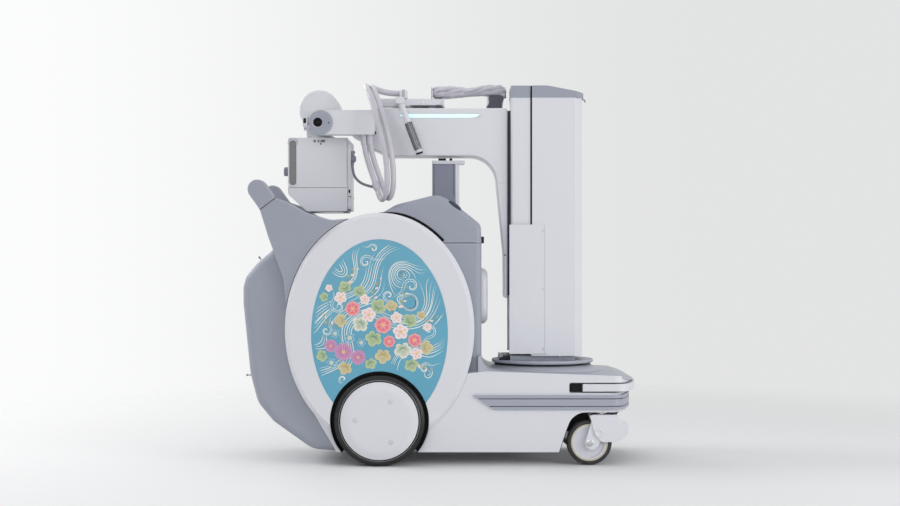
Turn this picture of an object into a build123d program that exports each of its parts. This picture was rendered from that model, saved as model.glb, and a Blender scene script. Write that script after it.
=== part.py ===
from build123d import *
import math
import os

os.makedirs("parts", exist_ok=True)

# Mobile x-ray machine, in mm. X runs to the front, Y to the left and Z up; the floor is Z = 0.
# The origin is under the middle of the machine.

# Overall
rear_x = -660.7
nose_x = 660.7
base_half_width = 240

# Clearances
running_fit = 0.05  # a shaft in its bore, on the radius
seat_gap = 0.3  # faces that turn or slide on each other
slide_gap = 0.5  # a tube that slides in another
free_gap = 5.5  # pieces that pass each other

# Drive wheels
wheel_x = -204
wheel_radius = 150
tyre_width = 46
tyre_inner_y = base_half_width - 18
tyre_outer_y = tyre_inner_y + tyre_width
tyre_rounding = 12
rim_radius = 112
disc_radius = 128
disc_edge_y = tyre_outer_y + 3
wheel_face_y = tyre_outer_y + 9.5
hub_inner_y = tyre_inner_y - 6
hub_bore_end_y = tyre_outer_y - 6
axle_radius = 16
arch_radius = 163
well_wall_y = base_half_width - 35

# Base
base_bottom_z = 44
base_rear_x = -346
base_front_x = 634
base_seam_z = 300
front_bow = 50
front_corner_radius = 45

# Deck and the slot under its nose
deck_half_width = base_half_width - 6
deck_front_x = 655
lip_front_x = 648
slot_rear_x = 422
slot_bottom_z = 240
slot_top_z = 273
slot_depth = 32
bar_rear_x = 467
bar_gap = 4

# Bumper rail
rail_bottom_z = 185
rail_top_z = 233
rail_thickness = 8
rail_groove_depth = 2.5
rail_groove_height = 3.5
rail_groove_heights = (195.5, 220.8)
rail_rear_top_x = 104
rail_rear_bottom_x = 174

# Casters
caster_swivel_x = 530
caster_trail = 40.7
caster_axle_x = caster_swivel_x - caster_trail
caster_y = base_half_width - 25
caster_radius = 75
caster_half_width = 16
caster_rim_radius = 61
caster_axle_radius = 8
caster_pin_radius = 10
fork_inner_y = 19.5
fork_outer_y = 26.5
fork_head_bottom_z = 156
fork_head_top_z = 168
fork_eye_radius = 23
guard_half_width = 31
guard_wheel_gap = 6
caster_floor_z = 175.5
caster_plate_radius = 28
caster_plate_height = 2
well_block_half_width = base_half_width - 150

# Body
core_half_width = well_wall_y
core_front_x = 133
core_rear_x = -500
core_corner_radius = 22
hood_seam_z = 735.6
valley_z = 800
pod_half_width = 105
pod_depth = 23
pod_bottom_z = 460
pod_top_z = 650

# Oval side panels
oval_x = -204
oval_z = 450
oval_half_length = 312.4
oval_half_height = 385
oval_face_y = core_half_width + 57
oval_bevel = 13
inset_z = 437
inset_half_length = 224.5
inset_half_height = 310
inset_depth = 3

# Rear cover, necks and grips
cover_half_width = core_half_width + 10
cover_rounding = 28
neck_outer_y = core_half_width + 41
neck_oval_gap = 2
neck_end_low = (-599.6, 845.4)
neck_end_high = (-548.1, 883.7)
grip_centre = (-607.8, 912.4)
grip_radius = 32
grip_outer_y = neck_outer_y + 1
grip_inner_y = core_half_width - 2

# Console screen
screen_rear_x = -490
screen_front_x = -290
screen_half_width = 140
screen_thickness = 6

# Parking post
post_rear_x = -33
post_front_x = 47
post_trim_x = 60
post_half_width = 34
post_foot_z = 860
post_top_z = 1008
post_plate_thickness = 11
post_plate_front_x = 78
plate_half_width = 38
pad_half_width = 22
pad_places = ((-12, 14), (26, 36))  # rear x, front x

# Turntable
turn_x = 347
disc_turn_radius = 174.7
disc_bottom_z = 328
disc_thickness = 10
dome_top_radius = 162
dome_top_z = 322
dome_foot_radius = 196
dome_foot_z = 302
race_radius = 120
turn_pin_radius = 30
turn_pin_height = 18
foot_rear_x = 197
foot_front_x = 452
foot_half_width = 88
foot_height = 15

# Column and mast
column_rear_x = 306.3
column_front_x = 477.5
column_bevel = 24.7
column_half_width = 105
column_top_z = 1270
cap_height = 41.5
column_cap_z = column_top_z - cap_height
cap_overhang = 4.5
cap_nose_height = 16.5
cap_slope_drop = 18
cap_flat_length = 51.7
mast_rear_x = 234.8
mast_front_x = 300.6
mast_half_width = 99
mast_lower_z = 362
guide_half_width = 11
guide_y = 62
shroud_rear_x = 229.4
shroud_front_x = 356.5
shroud_thickness = 3.5
shroud_bottom_z = 360
shroud_top_z = 798.6

# Arm
arm_end_x = -238
arm_front_x = 224
arm_top_z = 1196
arm_underside_z = 1033
arm_foot_z = 549
arm_half_width = 75
arm_edge_radius = 5
carriage_half_width = 60
inner_half_width = 54.5
arm_top_wall = 7.5
arm_floor = 26.5
inner_bottom_z = arm_underside_z + arm_floor
inner_top_z = arm_top_z - arm_top_wall
inner_front_x = 205
flange_thickness = 14
flange_x = -257
strip_rear_x = -151
strip_front_x = 131
strip_bottom_z = 1162
strip_top_z = 1178
strip_depth = 2

# Rail, sleeve and hose clamp on top of the arm
rail_rear_x = -213
rail_front_x = 3
rail_half_width = 30
rail_body_bottom_z = arm_top_z + 9
rail_body_top_z = rail_body_bottom_z + 28
rail_foot_length = 26
sleeve_rear_x = -32
sleeve_front_x = 220
sleeve_half_width = 36
sleeve_top_z = rail_body_top_z + 51
sleeve_stand_rear_x = 156
sleeve_stand_front_x = 208
sleeve_stand_half_width = 24
sleeve_stand_top_z = rail_body_top_z + 7
clamp_rear_x = -145
clamp_length = 26
clamp_half_width = 34

# Guide handle beside the arm
guide_rod_radius = 10
guide_grip_radius = 13.5
guide_rod_y = 112
guide_rod_top = (-142, arm_top_z + 23)
guide_end = (-74, arm_top_z - 159)
guide_rod_share = 0.42

# Wrist
roll_z = 1139.4
tilt_x = -404.6
wrist_outer_y = 170
wrist_inner_y = 117
wrist_half_height = 41
wrist_front_x = -224
bridge_rear_x = -281
bridge_far_y = 62
roll_pin_radius = 25
roll_pin_length = 21
tilt_pin_radius = 20
tilt_pin_depth = 41
hub_cap_radius = 40
hub_cap_thickness = 6
hub_hole_radius = 15.5
hub_hole_offset = 10
hub_hole_depth = 6

# Tube head
head_half_width = 100
tube_x = -416.5
tube_z = 1187.5
tube_radius = 68.4
trunnion_radius = 36
neck_block_half_length = 42
neck_block_half_width = 46
neck_block_bottom_z = 1102
collimator_x = -421.1
collimator_half_length = 100.6
collimator_top_z = 1093
collimator_seam_z = 924
collimator_bottom_z = 843
collimator_pin_radius = 30
collimator_pin_depth = 20
seam_width = 1
panel_thickness = 10.9
panel_half_width = 86
side_strip_rear_x = -517
side_strip_front_x = -493
side_strip_bottom_z = 932
side_strip_top_z = 1084
side_strip_depth = 2.5
knob_radius = 14
knob_length = 23
knob_z = 983
plug_half_width = 10
plug_y = -70
plug_bottom_z = 1014
plug_top_z = 1048
plug_length = 9.2

# Cords
hose_diameter = 18
lamp_cord_diameter = 9


def outline(corners):
    # corners: x, z, corner radius
    points = [(x, z) for x, z, r in corners]
    line = FilletPolyline(points, radius=[r for x, z, r in corners], close=True)
    return make_face(line)


def slab(face, y_low, y_high):
    return extrude(Plane.XZ.offset(-y_high) * face, amount=y_high - y_low)


def both_slabs(face, y_inner, y_outer):
    # the same outline on each side of the middle
    return slab(face, y_inner, y_outer) + slab(face, -y_outer, -y_inner)


def block(x_low, x_high, y_low, y_high, z_low, z_high):
    size = (x_high - x_low, y_high - y_low, z_high - z_low)
    return Pos(x_low, y_low, z_low) * Box(*size, align=(Align.MIN, Align.MIN, Align.MIN))


def prism(face, z_low, z_high):
    return extrude(Pos(0, 0, z_low) * face, amount=z_high - z_low)


def turned(corners):
    # corners: radius, height, corner radius; turned about Z
    return revolve(Plane.XZ * outline(corners), axis=Axis.Z)


def rod_y(x, z, radius, y_low, y_high):
    face = Pos(x, z) * Circle(radius)
    return slab(face, y_low, y_high)


def upright(x, y, radius, z_low, z_high):
    return Pos(x, y, z_low) * Cylinder(radius, z_high - z_low, align=(Align.CENTER, Align.CENTER, Align.MIN))


def rod_x(y, z, radius, x_low, x_high):
    face = Plane.YZ.offset(x_low) * Pos(y, z) * Circle(radius)
    return extrude(face, amount=x_high - x_low)


def rod_between(start, end, radius):
    # start and end: x, y, z
    line = Line(start, end)
    return sweep(Plane(origin=start, z_dir=line % 0) * Circle(radius), path=line)


def platform_plan(front_x, half_width):
    # seen from above: straight sides and a bowed front with round corners
    corner_x = front_x - front_bow
    sides = Polyline((corner_x, half_width), (base_rear_x - 200, half_width),
                     (base_rear_x - 200, -half_width), (corner_x, -half_width))
    bow = ThreePointArc((corner_x, -half_width), (front_x, 0), (corner_x, half_width))
    plan = make_face(sides + bow)
    return fillet(plan.vertices().sort_by(Axis.X)[-2:], front_corner_radius)


def save(shape, name):
    export_step(shape, f"parts/{name}.step")


def ellipse_face(x, z, half_length, half_height):
    return Pos(x, z) * Ellipse(half_length, half_height)


# Drive wheels
def wheel_place(side):
    return Plane(origin=(wheel_x, 0, wheel_radius), x_dir=(1, 0, 0), z_dir=(0, side, 0))


def drive_tyre(side):
    return wheel_place(side) * turned([
        (rim_radius, tyre_inner_y, 0), (wheel_radius, tyre_inner_y, tyre_rounding),
        (wheel_radius, tyre_outer_y, tyre_rounding), (rim_radius, tyre_outer_y, 0)])


def drive_disc(side):
    bore = axle_radius + running_fit
    return wheel_place(side) * turned([
        (0, hub_bore_end_y, 0), (0, wheel_face_y, 0), (disc_radius - 22, wheel_face_y, 60),
        (disc_radius, disc_edge_y, 0), (disc_radius, tyre_outer_y, 0), (rim_radius, tyre_outer_y, 0),
        (rim_radius, tyre_inner_y, 0), (bore, hub_inner_y, 0), (bore, hub_bore_end_y, 0)])


def drive_axles():
    near_end = hub_bore_end_y - seat_gap
    stub = rod_y(wheel_x, wheel_radius, axle_radius, well_wall_y, near_end)
    collar = rod_y(wheel_x, wheel_radius, axle_radius + 14, well_wall_y, hub_inner_y - free_gap)
    pair = stub + collar
    return pair + mirror(pair, about=Plane.XZ)


# Base
deck_outline = outline([
    # x, z, corner radius
    (core_front_x - 12, 361, 0), (core_front_x, 361, 0), (core_front_x + 4, 313, 44), (592, 297, 60),
    (628, 288, 40), (deck_front_x, slot_top_z + 1, 0), (deck_front_x - 9, slot_top_z + 1, 0),
    (622, 280, 30), (590, 287, 60), (core_front_x - 12, 302, 0)])

base_outline = outline([
    (base_rear_x, base_bottom_z, 8), (388, base_bottom_z, 3), (412, 118, 0), (436, caster_floor_z, 60),
    (lip_front_x, caster_floor_z, 0), (lip_front_x, slot_top_z + 2, 0), (626, 287, 40), (592, 295.5, 60),
    (core_front_x + 14, 311, 0), (oval_x + 250, base_seam_z, 0), (-440, base_seam_z, 0), (-420, 170, 0)])


def wheel_wells():
    return (rod_y(wheel_x, wheel_radius, arch_radius, well_wall_y, wheel_face_y + 10)
            + rod_y(wheel_x, wheel_radius, arch_radius, -wheel_face_y - 10, -well_wall_y))


def deck():
    plan = prism(platform_plan(deck_front_x, deck_half_width), base_bottom_z, 400)
    return slab(deck_outline, -deck_half_width, deck_half_width) & plan


def lower_body():
    body = slab(base_outline, -base_half_width, base_half_width)
    body &= prism(platform_plan(lip_front_x, base_half_width), 0, 400)
    below_slot = block(500, nose_x, -base_half_width, base_half_width, base_bottom_z, slot_bottom_z)
    body -= below_slot - prism(platform_plan(base_front_x, base_half_width), 0, slot_bottom_z)
    body -= block(slot_rear_x, nose_x, -base_half_width, base_half_width, slot_bottom_z, slot_top_z)
    return body - wheel_wells() - deck() - body_core() - oval_hollow()


def recess_plan():
    return platform_plan(base_front_x - slot_depth / 2, base_half_width - slot_depth)


def bumper_recess():
    return prism(recess_plan(), slot_bottom_z, slot_top_z) & block(
        slot_rear_x, nose_x, -base_half_width, base_half_width, slot_bottom_z, slot_top_z)


def bumper_bar():
    low = slot_bottom_z + bar_gap
    high = slot_top_z - bar_gap
    bar = prism(platform_plan(nose_x, base_half_width - 2), low, high)
    bar &= block(bar_rear_x, nose_x, -base_half_width, base_half_width, low, high)
    return bar - prism(recess_plan(), low, high)


def bumper_rail():
    outer = platform_plan(base_front_x + rail_thickness, base_half_width + rail_thickness)
    groove_floor = rail_thickness - rail_groove_depth
    grooved = platform_plan(base_front_x + groove_floor, base_half_width + groove_floor)
    inner = prism(platform_plan(base_front_x, base_half_width), 0, 400)
    rail = prism(outer, rail_bottom_z, rail_top_z)
    for height in rail_groove_heights:
        low = height - rail_groove_height / 2
        high = height + rail_groove_height / 2
        rail -= prism(outer, low, high) - prism(grooved, low, high)
    kept = outline([
        (rail_rear_bottom_x, rail_bottom_z, 0), (nose_x, rail_bottom_z, 0), (nose_x, rail_top_z, 0),
        (rail_rear_top_x, rail_top_z, 0)])
    return (rail - inner) & slab(kept, -wheel_face_y, wheel_face_y)


def caster_well():
    block_room = block(404, 596, -well_block_half_width, well_block_half_width, 96, caster_floor_z)
    return block_room - slab(base_outline, -base_half_width, base_half_width)


def base_liners():
    # the slot's black back wall and the block between the casters
    return bumper_recess() + caster_well()


def caster_mounts():
    plate = upright(caster_swivel_x, caster_y, caster_plate_radius,
                    caster_floor_z - caster_plate_height, caster_floor_z)
    pin = upright(caster_swivel_x, caster_y, caster_pin_radius, fork_head_bottom_z + 1, caster_floor_z)
    mount = plate + pin
    return mount + mirror(mount, about=Plane.XZ)


# Casters, drawn on the middle plane and moved out to each side
def caster_fork():
    leg = outline([
        (caster_axle_x - fork_eye_radius, caster_radius - fork_eye_radius, fork_eye_radius - 0.2),
        (caster_axle_x + fork_eye_radius, caster_radius - fork_eye_radius, fork_eye_radius - 0.2),
        (556, fork_head_bottom_z, 0), (556, fork_head_top_z, 0), (498, fork_head_top_z, 0),
        (498, fork_head_bottom_z, 0)])
    legs = both_slabs(leg, fork_inner_y, fork_outer_y)
    head = block(498, 562, -fork_outer_y, fork_outer_y, fork_head_bottom_z, fork_head_top_z)
    bore = upright(caster_swivel_x, 0, caster_pin_radius + running_fit, 0, caster_floor_z)
    axle = rod_y(caster_axle_x, caster_radius, caster_axle_radius, -fork_outer_y, fork_outer_y)
    return legs + (head - bore) + axle


def caster_guard():
    shape = outline([
        (489.4, 165.9, 0), (579, 168.2, 8), (597, 142.8, 6), (616.9, 136.5, 6), (616.9, 102.8, 8),
        (594.8, 86, 6), (578, 78.7, 6), (527, 77.4, 18), (504.3, 107.1, 8)])
    cover = slab(shape, -guard_half_width, guard_half_width)
    inside = fork_outer_y + seat_gap
    cover -= block(400, 566, -inside, inside, 0, 200)
    return cover - rod_y(caster_axle_x, caster_radius, caster_radius + guard_wheel_gap, -inside, inside)


def caster_tyre():
    tyre = turned([
        (caster_rim_radius, -caster_half_width, 0), (caster_radius, -caster_half_width, 6),
        (caster_radius, caster_half_width, 6), (caster_rim_radius, caster_half_width, 0)])
    return Plane(origin=(caster_axle_x, 0, caster_radius), x_dir=(1, 0, 0), z_dir=(0, 1, 0)) * tyre


def caster_hub():
    bore = caster_axle_radius + running_fit
    boss = caster_half_width + 2
    web = caster_half_width - 5
    hub = turned([
        (bore, -boss, 0), (20, -boss, 0), (20, -web, 0), (50, -web, 0), (50, -caster_half_width, 0),
        (caster_rim_radius, -caster_half_width, 0), (caster_rim_radius, caster_half_width, 0),
        (50, caster_half_width, 0), (50, web, 0), (20, web, 0), (20, boss, 0), (bore, boss, 0)])
    return Plane(origin=(caster_axle_x, 0, caster_radius), x_dir=(1, 0, 0), z_dir=(0, 1, 0)) * hub


# Body
core_outline = outline([
    (core_front_x, base_seam_z, 0), (core_front_x, hood_seam_z - seam_width, 0),
    (core_rear_x, hood_seam_z - seam_width, 0), (-480, 560, 0), (-440, base_seam_z, 0)])

hood_outline = outline([
    (core_front_x, hood_seam_z, 0), (core_front_x - 2, 796, 30), (74, 842, 60), (-5, 900, 70),
    (-150, 864, 90), (-262, valley_z, 40), (core_rear_x - 20, valley_z, 20),
    (core_rear_x - 20, hood_seam_z, 0)])

cover_outline = outline([
    (-560, 715, 20), (-613, 670.5, 30), (-651, 625, 50), (rear_x, 590, 40), (rear_x, 535, 60),
    (-637, 300, 200), (-612, 205, 90), (-560, 142, 60), (-428, 48, 90), (base_rear_x, base_bottom_z, 0),
    (-420, 170, 0), (-440, base_seam_z, 0), (-480, 560, 0), (core_rear_x, hood_seam_z - seam_width, 0),
    (core_rear_x - 26, hood_seam_z - seam_width, 0)])

neck_outline = outline([
    (*neck_end_low, 4), (*neck_end_high, 4), (-509, 871, 40), (-446, 834.5, 60), (-365, 811, 80),
    (-300, 816, 60), (oval_x, 830, 0), (oval_x, 600, 0), (-510, 500, 0), (-521.6, 617, 90),
    (-572, 756.5, 60)])


def body_core():
    core = slab(core_outline, -core_half_width, core_half_width)
    corners = core.edges().filter_by(Axis.Z).sort_by(Axis.X)[-2:]
    return fillet(corners, core_corner_radius) - deck()


def hood():
    top = slab(hood_outline, -core_half_width, core_half_width)
    sides = [e for e in top.edges() if abs(abs(e.center().Y) - core_half_width) < 1]
    rounded = [e for e in sides if e.center().Z > hood_seam_z + 20 and e.center().X > -300]
    return fillet(rounded, 20)


def front_pod():
    pod = block(core_front_x, core_front_x + pod_depth, -pod_half_width, pod_half_width,
                pod_bottom_z, pod_top_z)
    pod = fillet(pod.edges().filter_by(Axis.X), 60)
    return fillet(pod.faces().sort_by(Axis.X)[-1].edges(), pod_depth - 3)


def rear_cover():
    cover = slab(cover_outline, -cover_half_width, cover_half_width)
    rim = [e for e in cover.edges() if abs(abs(e.center().Y) - cover_half_width) < 1
           and e.center().X < -548 and e.center().Z < 710]
    return fillet(rim, cover_rounding) - oval_hollow()


def oval_panels():
    face = ellipse_face(oval_x, oval_z, oval_half_length, oval_half_height)
    panel = slab(face, core_half_width, oval_face_y)
    outer = panel.faces().sort_by(Axis.Y)[-1].edges()
    panel = chamfer(outer, oval_bevel)
    recess = ellipse_face(oval_x, inset_z, inset_half_length + seat_gap, inset_half_height + seat_gap)
    panel -= slab(recess, oval_face_y - inset_depth, oval_face_y)
    panels = panel + mirror(panel, about=Plane.XZ)
    return panels - wheel_wells()


def inset_panels():
    face = ellipse_face(oval_x, inset_z, inset_half_length, inset_half_height)
    return both_slabs(face, oval_face_y - inset_depth, oval_face_y) - wheel_wells()


def oval_hollow():
    # the room that the oval panels take on each side
    face = ellipse_face(oval_x, oval_z, oval_half_length + seat_gap, oval_half_height + seat_gap)
    return both_slabs(face, core_half_width, wheel_face_y)


def handle_necks():
    room = ellipse_face(oval_x, oval_z, oval_half_length + neck_oval_gap, oval_half_height + neck_oval_gap)
    neck = slab(neck_outline, core_half_width, neck_outer_y) - slab(room, core_half_width, neck_outer_y)
    below = slab(cover_outline, -cover_half_width, cover_half_width)
    neck -= below
    return neck + mirror(neck, about=Plane.XZ)


def grips():
    # a stem with a round end, standing on the middle of the neck's end
    foot_x = (neck_end_low[0] + neck_end_high[0]) / 2
    foot_z = (neck_end_low[1] + neck_end_high[1]) / 2
    stem = math.dist((foot_x, foot_z), grip_centre)
    lean = math.degrees(math.atan2(grip_centre[1] - foot_z, grip_centre[0] - foot_x)) - 90
    stub = Rectangle(2 * grip_radius, stem, align=(Align.CENTER, Align.MIN))
    stub += Pos(0, stem) * Circle(grip_radius)
    grip = slab(Pos(foot_x, foot_z) * Rot(0, 0, lean) * stub, grip_inner_y, grip_outer_y)
    return grip + mirror(grip, about=Plane.XZ) - handle_necks()


def console_screen():
    plate = block(screen_rear_x, screen_front_x, -screen_half_width, screen_half_width,
                  valley_z, valley_z + screen_thickness)
    return fillet(plate.edges().filter_by(Axis.Z), 14)


# Parking post
def park_post():
    return block(post_rear_x, post_front_x, -post_half_width, post_half_width,
                 post_foot_z, post_top_z) - hood()


def park_post_trim():
    strip = block(post_front_x, post_trim_x, -post_half_width, post_half_width,
                  post_foot_z - 40, post_top_z) - hood()
    plate = block(post_rear_x, post_plate_front_x, -plate_half_width, plate_half_width,
                  post_top_z, post_top_z + post_plate_thickness)
    return strip + fillet(plate.edges().filter_by(Axis.Z), 6)


def park_pads():
    base = post_top_z + post_plate_thickness
    top = arm_underside_z - free_gap
    pads = Part()
    for rear, front in pad_places:
        pads += block(rear, front, -pad_half_width, pad_half_width, base, top)
    return pads


# Turntable
def turntable_ring():
    race_top = disc_bottom_z - seat_gap
    pin_top = disc_bottom_z + turn_pin_height
    dome = Pos(turn_x, 0, 0) * turned([
        (0, dome_foot_z - 22, 0), (dome_foot_radius, dome_foot_z - 22, 0),
        (dome_foot_radius, dome_foot_z, 0), (dome_top_radius, dome_top_z, 30), (race_radius, dome_top_z, 0),
        (race_radius, race_top, 0), (turn_pin_radius, race_top, 0), (turn_pin_radius, pin_top, 0),
        (0, pin_top, 0)])
    return dome - deck() - lower_body() - body_core()


def turntable_disc():
    bore = turn_pin_radius + running_fit
    top = disc_bottom_z + disc_thickness
    return Pos(turn_x, 0, 0) * turned([
        (bore, disc_bottom_z, 0), (disc_turn_radius, disc_bottom_z, 4), (disc_turn_radius, top, 3),
        (bore, top, 0)])


def column_foot():
    low = disc_bottom_z + disc_thickness
    foot = block(foot_rear_x, foot_front_x, -foot_half_width, foot_half_width, low, low + foot_height)
    pin_top = disc_bottom_z + turn_pin_height
    return foot - upright(turn_x, 0, turn_pin_radius + running_fit, low, pin_top + seat_gap)


# Column and mast
def column_plan(front_x, half_width):
    bevel_x = front_x - column_bevel
    bevel_y = half_width - column_bevel
    return make_face(Polyline(
        (column_rear_x, -half_width), (bevel_x, -half_width), (front_x, -bevel_y), (front_x, bevel_y),
        (bevel_x, half_width), (column_rear_x, half_width), close=True))


def column():
    return prism(column_plan(column_front_x, column_half_width),
                 disc_bottom_z + disc_thickness + foot_height, column_cap_z)


def column_cap():
    front = column_front_x + cap_overhang
    nose_z = column_cap_z + cap_nose_height
    slope_x = column_front_x - column_bevel
    slope_z = column_top_z - cap_slope_drop
    profile = outline([
        (column_rear_x, column_cap_z, 0), (front, column_cap_z, 0), (front, nose_z, 4),
        (slope_x, slope_z, 60), (column_rear_x + cap_flat_length, column_top_z, 120),
        (column_rear_x, column_top_z, 0)])
    plan = prism(column_plan(front, column_half_width), column_cap_z, column_top_z)
    return slab(profile, -column_half_width, column_half_width) & plan


def mast():
    beam = block(mast_rear_x, mast_front_x, -mast_half_width, mast_half_width, mast_lower_z, column_cap_z)
    return fillet(beam.edges().filter_by(Axis.Z).sort_by(Axis.X)[:2], 8)


def mast_cap():
    cap = block(mast_rear_x, mast_front_x, -mast_half_width, mast_half_width, column_cap_z, column_top_z)
    return fillet(cap.edges().filter_by(Axis.Z).sort_by(Axis.X)[:2], 8)


def mast_guides():
    rails = Part()
    for y in (-guide_y, guide_y):
        rails += block(mast_front_x + seat_gap, column_rear_x, y - guide_half_width, y + guide_half_width,
                       mast_lower_z, column_cap_z)
    return rails


def column_shroud():
    plate = outline([
        (shroud_rear_x, shroud_bottom_z, 0), (shroud_front_x, shroud_bottom_z, 0),
        (shroud_front_x, shroud_top_z, 3), (shroud_rear_x, shroud_top_z, 3)])
    return both_slabs(plate, column_half_width, column_half_width + shroud_thickness)


# Arm
arm_outline = outline([
    (arm_end_x, arm_top_z, 8), (arm_front_x, arm_top_z, 8), (arm_front_x, arm_foot_z, 3),
    (212.4, arm_foot_z, 5), (211, 700, 300), (177, arm_underside_z, 90), (-183, arm_underside_z, 40),
    (arm_end_x, 1058, 6)])


def arm_housing():
    arm = slab(arm_outline, -arm_half_width, arm_half_width)
    sides = [e for e in arm.edges() if abs(abs(e.center().Y) - arm_half_width) < 1]
    arm = fillet(sides, arm_edge_radius)
    wall = inner_half_width + slide_gap
    arm -= block(arm_end_x - 1, inner_front_x + slide_gap, -wall, wall,
                 inner_bottom_z - slide_gap, inner_top_z + slide_gap)
    strip = strip_shape()
    return arm - both_slabs(strip, arm_half_width - strip_depth, arm_half_width)


def strip_shape():
    half = (strip_top_z - strip_bottom_z) / 2
    return outline([
        (strip_rear_x, strip_bottom_z, half - 0.1), (strip_front_x, strip_bottom_z, half - 0.1),
        (strip_front_x, strip_top_z, half - 0.1), (strip_rear_x, strip_top_z, half - 0.1)])


def light_strips():
    return both_slabs(strip_shape(), arm_half_width - strip_depth, arm_half_width)


def arm_carriage():
    return block(arm_front_x, mast_rear_x, -carriage_half_width, carriage_half_width,
                 arm_foot_z + 8, arm_top_z - 8)


def inner_arm():
    tube = block(flange_x, inner_front_x, -inner_half_width, inner_half_width, inner_bottom_z, inner_top_z)
    flange = block(flange_x, flange_x + flange_thickness, -inner_half_width - 12, inner_half_width + 12,
                   inner_bottom_z - 8, inner_top_z + 4)
    flange = fillet(flange.edges().filter_by(Axis.X), 18)
    pin = rod_x(0, roll_z, roll_pin_radius, flange_x - roll_pin_length, flange_x)
    return tube + flange + pin


def top_rail():
    rail = block(rail_rear_x, rail_front_x, -rail_half_width, rail_half_width, rail_body_bottom_z,
                 rail_body_top_z)
    rail = fillet(rail.edges().filter_by(Axis.X), 6)
    for x in (rail_rear_x + 20, rail_front_x - 20 - rail_foot_length):
        rail += block(x, x + rail_foot_length, -rail_half_width + 6, rail_half_width - 6, arm_top_z,
                      rail_body_bottom_z + 8)
    return rail


def hose_clamp():
    clamp = block(clamp_rear_x, clamp_rear_x + clamp_length, -clamp_half_width, clamp_half_width,
                  rail_body_top_z, rail_body_top_z + 30)
    return fillet(clamp.edges().filter_by(Axis.X).sort_by(Axis.Z)[-2:], 8)


def sleeve_stand():
    return block(sleeve_stand_rear_x, sleeve_stand_front_x, -sleeve_stand_half_width,
                 sleeve_stand_half_width, arm_top_z, sleeve_stand_top_z)


def arm_brackets():
    return hose_clamp() + sleeve_stand()


def cable_sleeve():
    low = rail_body_top_z + seat_gap
    stand_top = sleeve_stand_top_z + seat_gap
    profile = outline([
        (sleeve_rear_x, low, 10), (40, low, 30), (sleeve_stand_rear_x - 12, stand_top, 20),
        (sleeve_front_x, stand_top, 10), (sleeve_front_x, sleeve_top_z, 16),
        (60, sleeve_top_z - 8, 60), (sleeve_rear_x, sleeve_top_z - 2, 16)])
    sleeve = slab(profile, -sleeve_half_width, sleeve_half_width)
    sides = [e for e in sleeve.edges() if abs(abs(e.center().Y) - sleeve_half_width) < 1]
    return fillet(sides, 8)


def guide_point(share):
    # a point on the handle's line, from its top to its lower end
    x = guide_rod_top[0] + share * (guide_end[0] - guide_rod_top[0])
    z = guide_rod_top[1] + share * (guide_end[1] - guide_rod_top[1])
    return (x, -guide_rod_y, z)


def guide_rod():
    bracket = block(guide_rod_top[0] - 14, guide_rod_top[0] + 14, -guide_rod_y - 12, -rail_half_width,
                    guide_rod_top[1] - 12, guide_rod_top[1] + 10)
    return rod_between(guide_point(0), guide_point(guide_rod_share), guide_rod_radius) + bracket


def guide_grip():
    return rod_between(guide_point(guide_rod_share), guide_point(1), guide_grip_radius)


# Wrist
def wrist():
    half = wrist_half_height
    side = outline([
        (tilt_x - half, roll_z - half, half - 0.1), (wrist_front_x, roll_z - half, 8),
        (wrist_front_x, roll_z + half, 8), (tilt_x - half, roll_z + half, half - 0.1)])
    housing = slab(side, -wrist_outer_y, -wrist_inner_y)
    bridge = block(bridge_rear_x, flange_x - slide_gap, -wrist_outer_y + 12, bridge_far_y,
                   roll_z - half, roll_z + half)
    whole = housing + bridge
    whole -= rod_x(0, roll_z, roll_pin_radius + running_fit, flange_x - roll_pin_length - seat_gap, flange_x)
    whole -= rod_y(tilt_x, roll_z, tilt_pin_radius + running_fit,
                   -wrist_inner_y - tilt_pin_depth - seat_gap, -wrist_inner_y)
    return whole - hub_hole(-wrist_outer_y, -wrist_outer_y + hub_hole_depth)


def hub_hole(y_low, y_high):
    return rod_y(tilt_x - hub_hole_offset, roll_z, hub_hole_radius, y_low, y_high)


def hub_cap():
    face_y = -wrist_outer_y - hub_cap_thickness
    return rod_y(tilt_x, roll_z, hub_cap_radius, face_y, -wrist_outer_y) - hub_hole(face_y, -wrist_outer_y)


# Tube head
def tube_housing():
    tube = rod_y(tube_x, tube_z, tube_radius, -head_half_width, head_half_width)
    tube = fillet(tube.edges().filter_by(GeomType.CIRCLE), 10)
    neck = block(collimator_x - neck_block_half_length, collimator_x + neck_block_half_length,
                 -neck_block_half_width, neck_block_half_width, neck_block_bottom_z, tube_z)
    collar = upright(collimator_x, 0, 52, collimator_top_z + seat_gap, neck_block_bottom_z)
    pin = upright(collimator_x, 0, collimator_pin_radius, collimator_top_z - collimator_pin_depth,
                  neck_block_bottom_z)
    trunnion = rod_y(tilt_x, roll_z, trunnion_radius, -wrist_inner_y + seat_gap, 0)
    tilt_pin = rod_y(tilt_x, roll_z, tilt_pin_radius, -wrist_inner_y - tilt_pin_depth, 0)
    return tube + neck + collar + pin + trunnion + tilt_pin


def collimator():
    rear = collimator_x - collimator_half_length
    front = collimator_x + collimator_half_length
    box = block(rear, front, -head_half_width, head_half_width, collimator_seam_z, collimator_top_z)
    box = fillet(box.edges().filter_by(Axis.Z), 6)
    box -= upright(collimator_x, 0, collimator_pin_radius + running_fit,
                   collimator_top_z - collimator_pin_depth - seat_gap, collimator_top_z)
    strip = side_strip_shape()
    return box - both_slabs(strip, head_half_width - side_strip_depth, head_half_width)


def side_strip_shape():
    return outline([
        (side_strip_rear_x, side_strip_bottom_z, 11), (side_strip_front_x, side_strip_bottom_z, 11),
        (side_strip_front_x, side_strip_top_z, 11), (side_strip_rear_x, side_strip_top_z, 11)])


def head_side_strips():
    return both_slabs(side_strip_shape(), head_half_width - side_strip_depth, head_half_width)


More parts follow.
